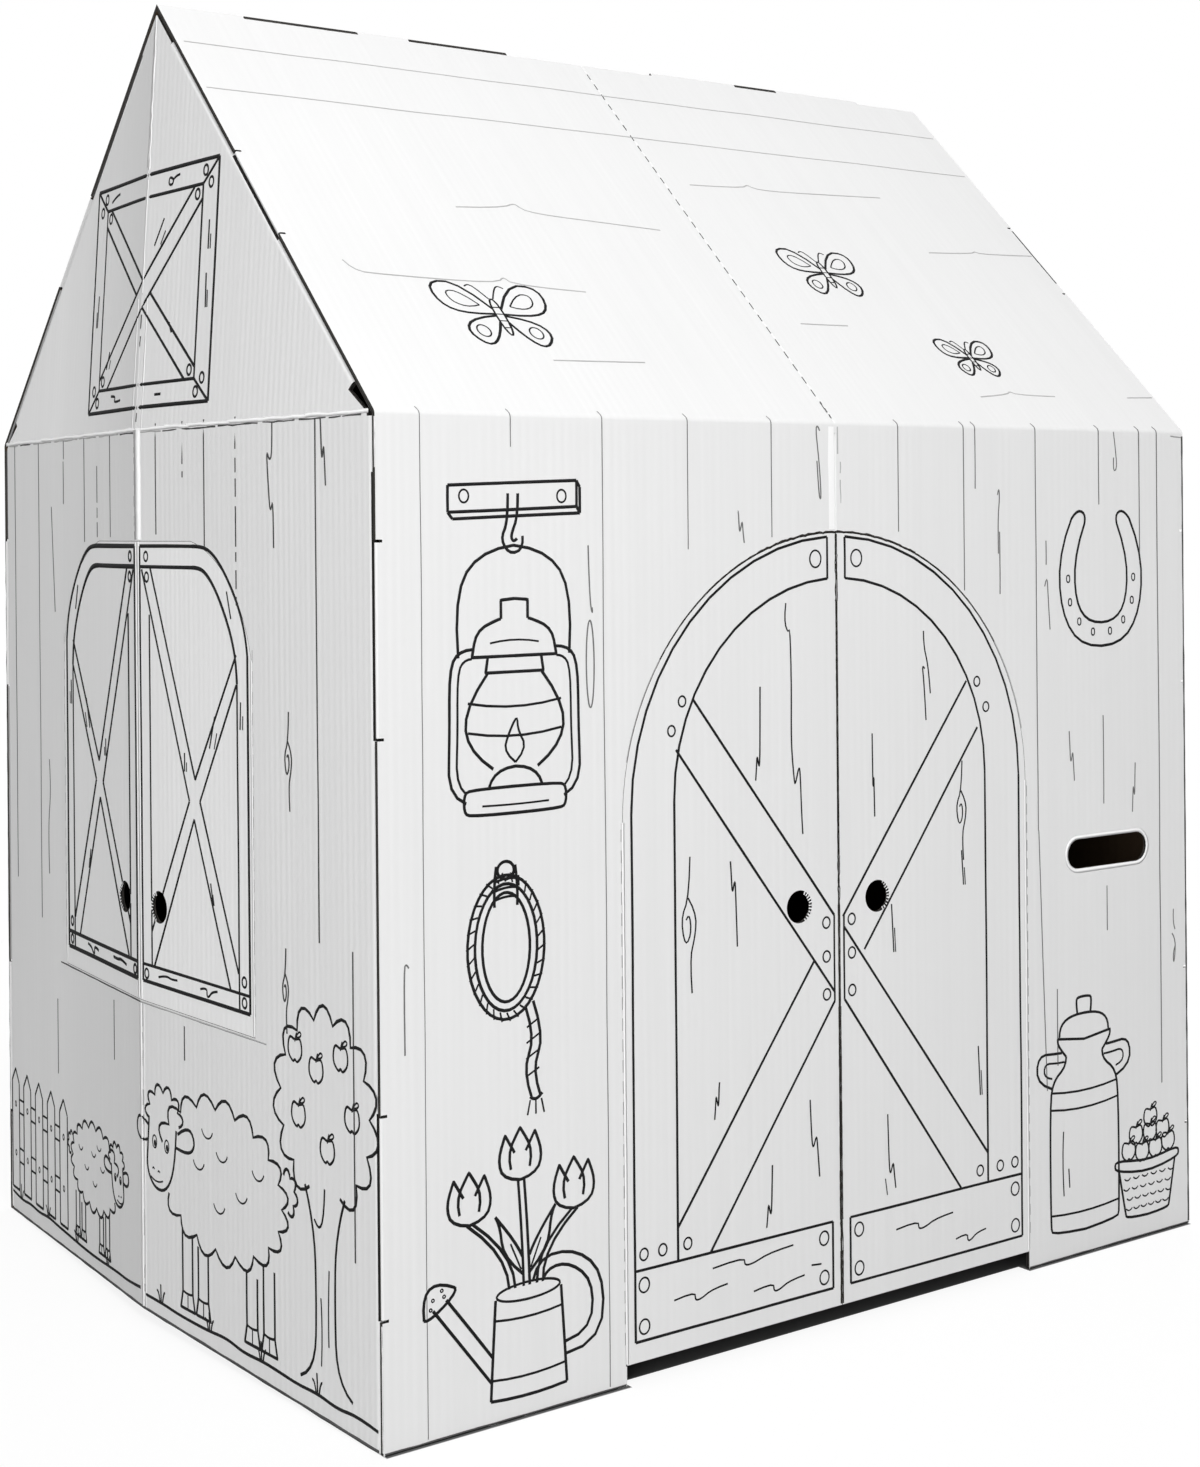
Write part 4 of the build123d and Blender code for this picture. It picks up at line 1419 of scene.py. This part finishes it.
def shutters():
    """Panel, body, half and side of u of each shutter."""
    for side in ("left", "right"):
        for half in ("front", "back"):
            turn = 1 if (side == "left") == (half == "front") else -1
            yield f"{side}_gable", f"{side}_shutter_{half}", half, turn


def shutter_prints():
    """Print of the four shutters."""
    for panel, body, half, turn in shutters():
        pen = Pen(f"{body}_print", rounds=5, weight=SHUTTER_WEIGHTS[half])
        shutter_print(pen, turn < 0)
        pen.lay(panel, body)


# Creases and die cuts

CREASE_FINISHES = (CRUSHED_AND_HIGHLIT_LINER, PRESSED_AND_SHADE_LINE, SPLIT_AND_SHADOW_LINE)
CREASE_RELIEF = 0.02
GABLE_RELIEF = 0.05
# Tones of the grey pressed lines and the near-black splits, which also paint shade and shadow beside
# creases and at rims
PRESSED_AND_SHADE_TONE = 1
SPLIT_AND_SHADOW_TONE = 2
HAIR = 0.8
LONGEST_SPECK = 22.0
HINGE_BAND = 2.6
HINGE_REACH = 0.9
DASH_PITCH = 15.0
# Heights of the light strip on the front wall's cut edge at the corner, a painted highlight
CORNER_EDGE_HIGHLIGHT = ((2.0, 86.0), (656.0, 690.0))

# Style of a dark rim line, which at the feet of the walls is a painted contact shadow
DARK_RIM = {"jag": 0.1, "step": 12.0, "rough": 0.2, "tone": SPLIT_AND_SHADOW_TONE}


def specks(pen, u, low, high, width=HAIR, fill=0.5):
    """Scattered short dark marks along an upright line, that fill this share of it."""
    v = low
    while v < high:
        mark = pen.hand.uniform(4, LONGEST_SPECK)
        if pen.hand.random() < fill:
            stop = min(v + mark, high)
            shift = pen.hand.uniform(-0.5, 0.5)
            thick = width * pen.hand.uniform(0.6, 1.3)
            pen.torn((u + shift, v), (u - shift, stop), thick, jag=0.3, step=5.0, tone=PRESSED_AND_SHADE_TONE)
        v += mark + pen.hand.uniform(2, 9)


def upright_crease(pen, corner):
    """Crushed liner along the upright fold of a gable, lighter as a painted highlight, with dark marks
    beside it as painted shade. Corner is 1 where +u is the front, or -1.
    """
    for low, high in ((10.0, WINDOW_SILL - 3), (SHUTTER_HEAD + 5, EAVE)):
        wide = low > WINDOW_SILL
        near, far = (8.0, 4.0) if wide else (2.6, 1.6)
        middle = corner * (near - far) / 2
        pen.upright(middle, low, high, near + far, jag=0.25, step=8.0, rough=0.06)
        if wide:
            specks(pen, -corner * (far + 0.6), low, high, width=1.3, fill=0.7)
            specks(pen, corner * 5.0, low, high, width=1.2, fill=0.25)
        else:
            pen.upright(corner * 5.5, low, high, 2.0, jag=0.15, step=9.0, rough=0.1)
            specks(pen, corner * 3.4, low, high, width=1.4, fill=0.8)


def peak_crease(pen, corner):
    """Split and crushed liner along the upright fold above the eave: the liner lighter as a painted
    highlight, a grey line beside it as painted shadow.
    """
    top = RIDGE - 10
    pen.upright(corner * 0.6, LOFT_HEAD + 4, top, 3.4, jag=0.75, step=7.0)
    low, high = (-corner * 2.6, LOFT_HEAD + 6), (-corner * 2.0, top - 8)
    pen.torn(low, high, 1.3, jag=0.6, step=6.0, rough=0.4, tone=PRESSED_AND_SHADE_TONE)
    pen.upright(0, LOFT_FOOT + 90, LOFT_HEAD - 4, 2.6, jag=0.2, step=9.0, rough=0.2)
    for u in (-8, 9):
        pen.upright(corner * u, EAVE, LOFT_FOOT + 86, 2.4, jag=0.2, step=9.0, rough=0.25)
    for low, high in ((700, 707), (759, 767), (773, 784)):
        pen.torn((-0.2, low), (0.4, high), 1.7, jag=0.3, step=2.5, rough=0.3, tone=SPLIT_AND_SHADOW_TONE)
    specks(pen, 0.0, 716, 756, width=1.0, fill=0.5)


def level_crease(pen, corner):
    """Wavy crushed fold at eave height, lighter as a painted highlight, with a thin split under it."""
    reach = HALF_DEPTH - 8
    u = -reach
    while u < reach:
        stop = min(u + pen.hand.uniform(30, 70), reach)
        lift = pen.hand.uniform(-0.5, 0.5)
        near, far = (u - 3, EAVE + 0.4 + lift), (stop, EAVE + 0.4 - lift)
        pen.torn(near, far, 3.2, jag=0.35, step=9.0, rough=0.25)
        u = stop
    u = -reach + 6
    while u < reach - 6:
        stop = min(u + pen.hand.uniform(14, 60), reach)
        tone = SPLIT_AND_SHADOW_TONE if corner * u > 30 or pen.hand.random() < 0.3 else PRESSED_AND_SHADE_TONE
        pen.torn((u, EAVE - 1.9), (stop, EAVE - 1.9), 1.1, jag=0.35, step=7.0, tone=tone)
        u = stop + pen.hand.uniform(2, 9)


def sill_score(pen, corner):
    """Thin line pressed below the window."""
    level, end = WINDOW_SILL - 2, corner * (WINDOW_HALF + 17)
    pen.torn((0, level), (-end, level), 1.3, jag=0.15, step=14.0, rough=0.15, tone=SPLIT_AND_SHADOW_TONE)
    pen.torn((0, level), (end, level), 1.2, jag=0.15, step=14.0, rough=0.25, tone=PRESSED_AND_SHADE_TONE)


def gable_creases():
    """Crushed liner along the folds of each gable, lighter as a painted highlight, with painted shade
    beside it.
    """
    for side in ("left", "right"):
        pen = Pen(f"{side}_gable_creases", CREASE_FINISHES, GABLE_RELIEF)
        corner = 1 if side == "left" else -1
        upright_crease(pen, corner)
        peak_crease(pen, corner)
        level_crease(pen, corner)
        sill_score(pen, corner)
        pen.lay(f"{side}_gable", "house")


def front_creases():
    """Soft crushed stripe down the middle of the long walls, lighter as a painted highlight with grey
    marks beside it as painted shade, and a light strip on their cut edges at the corner, a painted
    highlight.
    """
    for panel, low in (("front", DOOR_SPRING + DOOR_HALF + 3), ("back", 12.0)):
        pen = Pen(f"{panel}_crease", CREASE_FINISHES, CREASE_RELIEF)
        pen.upright(-4.0, low, EAVE - 3, 6.0, jag=0.3, step=12.0, rough=0.12)
        specks(pen, 5.4, low + 20, EAVE - 30, fill=0.6)
        pen.upright(2.6, EAVE - 24, EAVE - 3, 1.2, jag=0.1, step=9.0, rough=0.1, tone=PRESSED_AND_SHADE_TONE)
        for past in (5, 12, 20):
            foot, head = (-0.4, EAVE + past), (0.2, EAVE + past + 4.5)
            pen.torn(foot, head, 1.3, jag=0.2, step=3.0, tone=SPLIT_AND_SHADOW_TONE)
        pen.lay(panel, "house", flat=True)
    pen = Pen("corner_edge_liner", CREASE_FINISHES, CREASE_RELIEF)
    for low, high in CORNER_EDGE_HIGHLIGHT:
        pen.upright(-0.75, low, high, 1.3, jag=0.15, step=5.0, rough=0.25)
    pen.lay("front_edge", "house")


# How far a gable's foot rises at its crease, and the ends of the stretches of the inner rims, light and
# dark lines that paint highlight and shade in the gaps at the gables
GABLE_FOOT_RISE = 8.0
WALL_EDGE_PARTS = ((2.0, 88.0), (226.0, 474.0), (608.0, 688.0))
RAKE_EDGE_PARTS = ((6.0, 186.0), (287.0, 446.0))


def gable_rims():
    """Dark line at the foot of each gable, a painted contact shadow."""
    for side in ("left", "right"):
        pen = Pen(f"{side}_gable_rim", CREASE_FINISHES, CREASE_RELIEF)
        for turn in (-1, 1):
            middle, corner = (0, GABLE_FOOT_RISE + 1.2), (turn * (FLAT_RUN - 2), 1.2)
            pen.torn(middle, corner, 2.3, **DARK_RIM | {"jag": 0.15})
        pen.lay(f"{side}_gable", "house")


def wall_rim(half):
    """Dark line at the foot of a long wall, a painted contact shadow, and dark lines at its ends by the
    gables.
    """
    pen = Pen(f"{half}_wall_rim", CREASE_FINISHES, CREASE_RELIEF)
    inner = DOOR_HALF + 1 if half == "front" else 0
    for side in (-1, 1):
        pen.torn((side * inner, 0.8), (side * (HALF_WIDTH - 1), 0.8), 1.6, **DARK_RIM)
    for side in (1,) if half == "front" else (-1, 1):
        pen.upright(side * (HALF_WIDTH - 1), 2, EAVE - 4, 1.9, **DARK_RIM | {"rough": 0.25})
        near, far = (side * (HALF_WIDTH - 16), EAVE - 4), (side * (HALF_WIDTH - 2), EAVE - 5)
        pen.torn(near, far, 1.1, jag=0.2, step=5.0, rough=0.3, tone=PRESSED_AND_SHADE_TONE)
    pen.lay(half, "house")


def roof_rim(half):
    """Dark line at the end of a roof slope."""
    pen = Pen(f"{half}_roof_rim", CREASE_FINISHES, CREASE_RELIEF)
    far_end = HALF_WIDTH - 2.0 if half == "front" else 2.0 - HALF_WIDTH
    pen.upright(far_end, 203, 281, 1.8, **DARK_RIM)
    pen.lay(f"{half}_roof", "house")


def inner_rim(panel, parts, tones):
    """Light and dark lines at the ends of a panel on its inner side, painted highlight and shade in the
    gaps at the gables.
    """
    pen = Pen(f"{panel}_rim", CREASE_FINISHES, CREASE_RELIEF)
    for (low, high), tone in zip(parts, tones):
        for side in (-1, 1):
            end = side * (HALF_WIDTH - 1.4)
            pen.upright(end, low, high, 2.6, jag=0.1, step=12.0, rough=0.06, tone=tone)
    pen.lay(panel, "house")


def dark_rims():
    """Dark rims: the feet of all walls, as a painted contact shadow, the ends of the long walls and the
    roof at the gables, and painted shade on their inner sides.
    """
    gable_rims()
    for half in ("front", "back"):
        wall_rim(half)
        roof_rim(half)
        inner_rim(f"{half}_inside", WALL_EDGE_PARTS, (0, PRESSED_AND_SHADE_TONE, SPLIT_AND_SHADOW_TONE))
        inner_rim(f"{half}_roof_inside", RAKE_EDGE_PARTS, (PRESSED_AND_SHADE_TONE, SPLIT_AND_SHADOW_TONE))


def shutter_creases():
    """Crushed liner on the meeting edges of the shutters, lighter as a painted highlight, with dark
    marks as painted shade on the back ones.
    """
    for panel, body, half, turn in shutters():
        pen = Pen(f"{body}_edge", CREASE_FINISHES, GABLE_RELIEF)
        low, high = WINDOW_SILL + 1, SHUTTER_HEAD + 3
        pen.upright(turn * 2.3, low, high, 4.0, jag=0.1, step=14.0, rough=0.06)
        if half == "back":
            specks(pen, turn * 3.0, WINDOW_SILL + 2, SHUTTER_HEAD, fill=0.4)
        pen.lay(panel, body)


# Stretches of the cut round the door arch, by their angles, with width, unevenness and tone
ARCH_CUTS = (
    (66, 112, 1.7, 0.5, 0), (112, 128, 1.3, 0.15, 0), (52, 66, 1.2, 0.15, 0), (128, 146, 0.9, 0.1, 0),
    (34, 52, 0.9, 0.1, 0), (146, 168, 0.9, 0.05, 1), (12, 34, 0.9, 0.05, 1),
)

# Stretches of the seam between the leaves, by their heights, with width and unevenness
SEAM_CUTS = (
    (DOOR_FOOT + 1, 56, 1.4, 0.08), (56, 80, 1.1, 0.5), (80, 118, 1.4, 0.08), (118, 244, 1.2, 0.06),
    (244, 322, 0.9, 0.05), (322, 360, 0.9, 0.45), (360, 556, 0.8, 0.06), (556, 592, 0.9, 0.5),
    (592, 608, 0.8, 0.1),
)
CUT_FINISHES = (CUT_LINE, PRESSED_AND_SHADE_LINE)
CUT_RELIEF = 0.05


def door_cuts():
    """Dark line of the die cut round the doors and between them, painted dark as the shade in the cut.
    """
    pen = Pen("door_arch_cut", CUT_FINISHES, CUT_RELIEF)
    for start, end, width, jag, tone in ARCH_CUTS:
        steps = int((end - start) * 1.2)
        points = []
        for step in range(steps + 1):
            angle = math.radians(start + (end - start) * step / steps)
            reach = DOOR_HALF + 0.9 + pen.hand.uniform(-jag, jag)
            points += around(0, DOOR_SPRING, reach, reach, [angle])
        pen.stroke(points, width, soft=False, tone=tone, rough=0.25 if jag > 0.3 else 0.1)
    pen.lay("front", "house")
    for leaf, side in DOORS:
        pen = Pen(f"{leaf}_edge", CUT_FINISHES, CUT_RELIEF)
        for low, high, width, jag in SEAM_CUTS:
            beside = side * (0.35 + width / 2)
            pen.upright(beside, low, high, width, jag=jag, step=3.0, rough=0.2)
        pen.lay("front", leaf)


def hole_rims():
    """Frayed rims of the finger holes and the pale lip of the mail slot, in the crushed liner's tone,
    lighter than the board as a painted highlight.
    """
    spots = [("front", leaf, side * DOOR_HOLE, 0) for leaf, side in DOORS]
    spots += [(panel, body, turn * SHUTTER_HOLE, 180) for panel, body, half, turn in shutters()]
    for panel, body, u, toward in spots:
        pen = Pen(f"{body}_hole_rim", CREASE_FINISHES, 0.1)
        pen.frayed_hole((u, HOLE_HEIGHT), toward)
        pen.lay(panel, body)
    pen = Pen("mail_slot_lip", CREASE_FINISHES, 0.04)
    u, v, length, height = MAIL_SLOT
    rim = height / 2 + 0.6
    straight = (length - height) / 2
    points = []
    for turn, middle in ((-90, u + straight), (90, u - straight)):
        points += around(middle, v, rim, rim, [math.radians(turn + 15 * step) for step in range(13)])
    pen.stroke(points, 3.6, soft=False, closed=True, rough=0.08)
    pen.lay("front", "house")


def hinge_lines():
    """Creased liner, lighter than the board as a painted highlight, that joins each leaf to its wall,
    with the faint dashes of the scoring rule.
    """
    spots = [("front", leaf, side * DOOR_HALF, DOOR_FOOT, DOOR_SPRING) for leaf, side in DOORS]
    for panel, body, half, turn in shutters():
        spots.append((panel, body, turn * WINDOW_HALF, WINDOW_SILL, WINDOW_SPRING))
    for panel, leaf, edge, low, high in spots:
        pen = Pen(f"{leaf}_hinge_liner", CREASE_FINISHES, 0.03)
        pen.upright(edge, low + 1, high, HINGE_BAND, jag=0.1, step=15.0, rough=0.06)
        dash = edge + math.copysign(HINGE_BAND / 2 + 0.4, edge)
        v = low + DASH_PITCH
        while v < high:
            pen.stroke([(dash, v), (dash, v + 0.6 * DASH_PITCH)], HAIR, tone=PRESSED_AND_SHADE_TONE)
            v += DASH_PITCH
        piece = pen.lay(panel)
        place = RULERS[panel]
        beside = math.copysign(HINGE_REACH, edge)
        start, end = place(edge + beside, low, 0.0), place(edge - beside, low, 0.0)
        tuple(start)
        tuple(end)
        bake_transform(piece)


# Camera, floor and light

def camera():
    """Camera of the photograph, by its place, heading, roll and lens."""
    place = Vector((-1.1399, -1.6128, 0.6168))
    heading = math.radians(35.684)
    roll = math.radians(-0.501)
    long_side, focal, centre_height = 1467.0, 2209.7, 524.36
    made = bpy.data.cameras.new("camera")
    made.sensor_width = 36.0
    made.lens = focal / long_side * made.sensor_width
    made.shift_y = (centre_height - long_side / 2) / long_side
    made.clip_end = 60.0
    view = bpy.data.objects.new("camera", made)
    bpy.context.scene.collection.objects.link(view)
    ahead = Vector((math.sin(heading), math.cos(heading), 0))
    level = Vector((math.cos(heading), -math.sin(heading), 0))
    right = math.cos(roll) * level + math.sin(roll) * UP
    up = -math.sin(roll) * level + math.cos(roll) * UP
    turn = Matrix((right, up, -ahead)).transposed()
    view.matrix_world = Matrix.Translation(place) @ turn.to_4x4()
    bpy.context.scene.camera = view


# Strength of the surroundings as light, and tones of the floor as seen and as it throws light back;
# inside the house the floor is dark, painted shade
SKY = 0.446
FLOOR_SEEN = 0.92
FLOOR_LIT = 0.40
PAINTED_SHADE_FLOOR_SEEN = 0.092
PAINTED_SHADE_FLOOR_LIT = 0.03
FLOOR_GLOW = 0.86
FLOOR_SIZE = 14.0
FLOOR_DROP = 0.6 * MM

# How far from the middle the floor starts and ends to turn white, how wide the painted contact shadow
# round the walls is, and how far behind the door the painted indoor shade starts
GLOW_FROM = 0.55
GLOW_TO = 1.6
PAINTED_FOOT_SHADOW_WIDTH = 3.6
DOOR_SHADE = 10.0


def floor():
    """Pale floor that keeps the shadow of the house and otherwise shows white; inside the walls it is
    dark as painted shade, with a soft painted contact shadow just outside the long walls.
    """
    bpy.ops.object.select_all(action="DESELECT")
    bpy.ops.mesh.primitive_plane_add(size=FLOOR_SIZE, location=(0, 0, -FLOOR_DROP))
    plane = bpy.context.object
    plane.name = "floor"
    material, wires, shader = new_material("pale_floor")
    seen = wires.node("ShaderNodeLightPath").outputs["Is Camera Ray"]
    shader.inputs["Roughness"].default_value = 0.9
    glow = wires.node("ShaderNodeEmission", {"Color": grey(1), "Strength": 1.0})
    place = wires.place()
    across = wires.free(place["X"])
    # Painted shade: the floor is dark inside the walls and in a soft strip just outside the long walls,
    # a painted contact shadow; under the doors the dark starts a little behind the wall
    past_gable = wires.minus(across, (HALF_WIDTH - PAINTED_FOOT_SHADOW_WIDTH) * MM)
    past_wall = wires.minus(wires.free(place["Y"]), HALF_DEPTH * MM)
    past_walls = wires.spread(wires.most(past_gable, past_wall), 0.6 * PAINTED_FOOT_SHADOW_WIDTH * MM, PAINTED_FOOT_SHADOW_WIDTH * MM)
    before_door = wires.over(wires.times(place["Y"], -1.0), (HALF_DEPTH - DOOR_SHADE) * MM)
    under_door = wires.times(before_door, wires.under(across, (DOOR_HALF - 2) * MM))
    outdoors = wires.most(past_walls, under_door)
    outside = wires.mix(seen, grey(FLOOR_LIT), grey(FLOOR_SEEN))
    indoor_painted_shade = wires.mix(seen, grey(PAINTED_SHADE_FLOOR_LIT), grey(PAINTED_SHADE_FLOOR_SEEN))
    wires.feed(wires.mix(outdoors, indoor_painted_shade, outside), shader.inputs["Base Color"])
    away = wires.length(wires.coordinates())
    glowing = wires.spread(away, GLOW_FROM, GLOW_TO, FLOOR_GLOW, 1.0)
    share = wires.times(wires.times(seen, outdoors), glowing)
    mixed = wires.node("ShaderNodeMixShader", {0: share, 1: shader.outputs[0], 2: glow.outputs[0]})
    wires.feed(mixed.outputs[0], material.node_tree.nodes["Material Output"].inputs["Surface"])
    plane.data.materials.append(material)


def world():
    """White surroundings, dimmer as light than as a backdrop."""
    made = bpy.data.worlds.new("studio")
    bpy.context.scene.world = made
    made.use_nodes = True
    wires = Wiring(made.node_tree)
    back = made.node_tree.nodes["Background"]
    back.inputs["Color"].default_value = grey(1)
    rays = wires.node("ShaderNodeLightPath").outputs
    seen = wires.most(rays["Is Camera Ray"], rays["Is Glossy Ray"])
    seen = wires.most(seen, rays["Is Transmission Ray"])
    wires.feed(wires.between(seen, SKY, 1.0), back.inputs["Strength"])


def lamp(name, place, aim, size, power):
    """Soft square lamp."""
    made = bpy.data.lights.new(name, "AREA")
    made.shape = "SQUARE"
    made.size = size
    made.energy = power
    holder = bpy.data.objects.new(name, made)
    bpy.context.scene.collection.objects.link(holder)
    away = (Vector(place) - Vector(aim)).to_track_quat("Z", "Y")
    holder.matrix_world = Matrix.Translation(place) @ away.to_matrix().to_4x4()


def lights():
    """Large soft lamp high in front, a low one beside the camera and one behind for the far sides."""
    lamp("key", (-1.06, -2.65, 3.62), (-0.1, -0.2, 0.6), size=1.6, power=109.5)
    lamp("low", (-2.27, -2.0, 0.45), (0, 0, 0.5), size=1.6, power=39.6)
    lamp("back", (2.7, 2.5, 2.3), (0, 0, 0.5), size=2.0, power=75.0)


dress_board()
front_print()
back_print()
door_prints()
roof_prints()
gable_print("left")
gable_print("right")
shutter_prints()
gable_creases()
front_creases()
dark_rims()
shutter_creases()
door_cuts()
hole_rims()
hinge_lines()
camera()
floor()
world()
lights()
bpy.context.scene.view_settings.view_transform = "Standard"
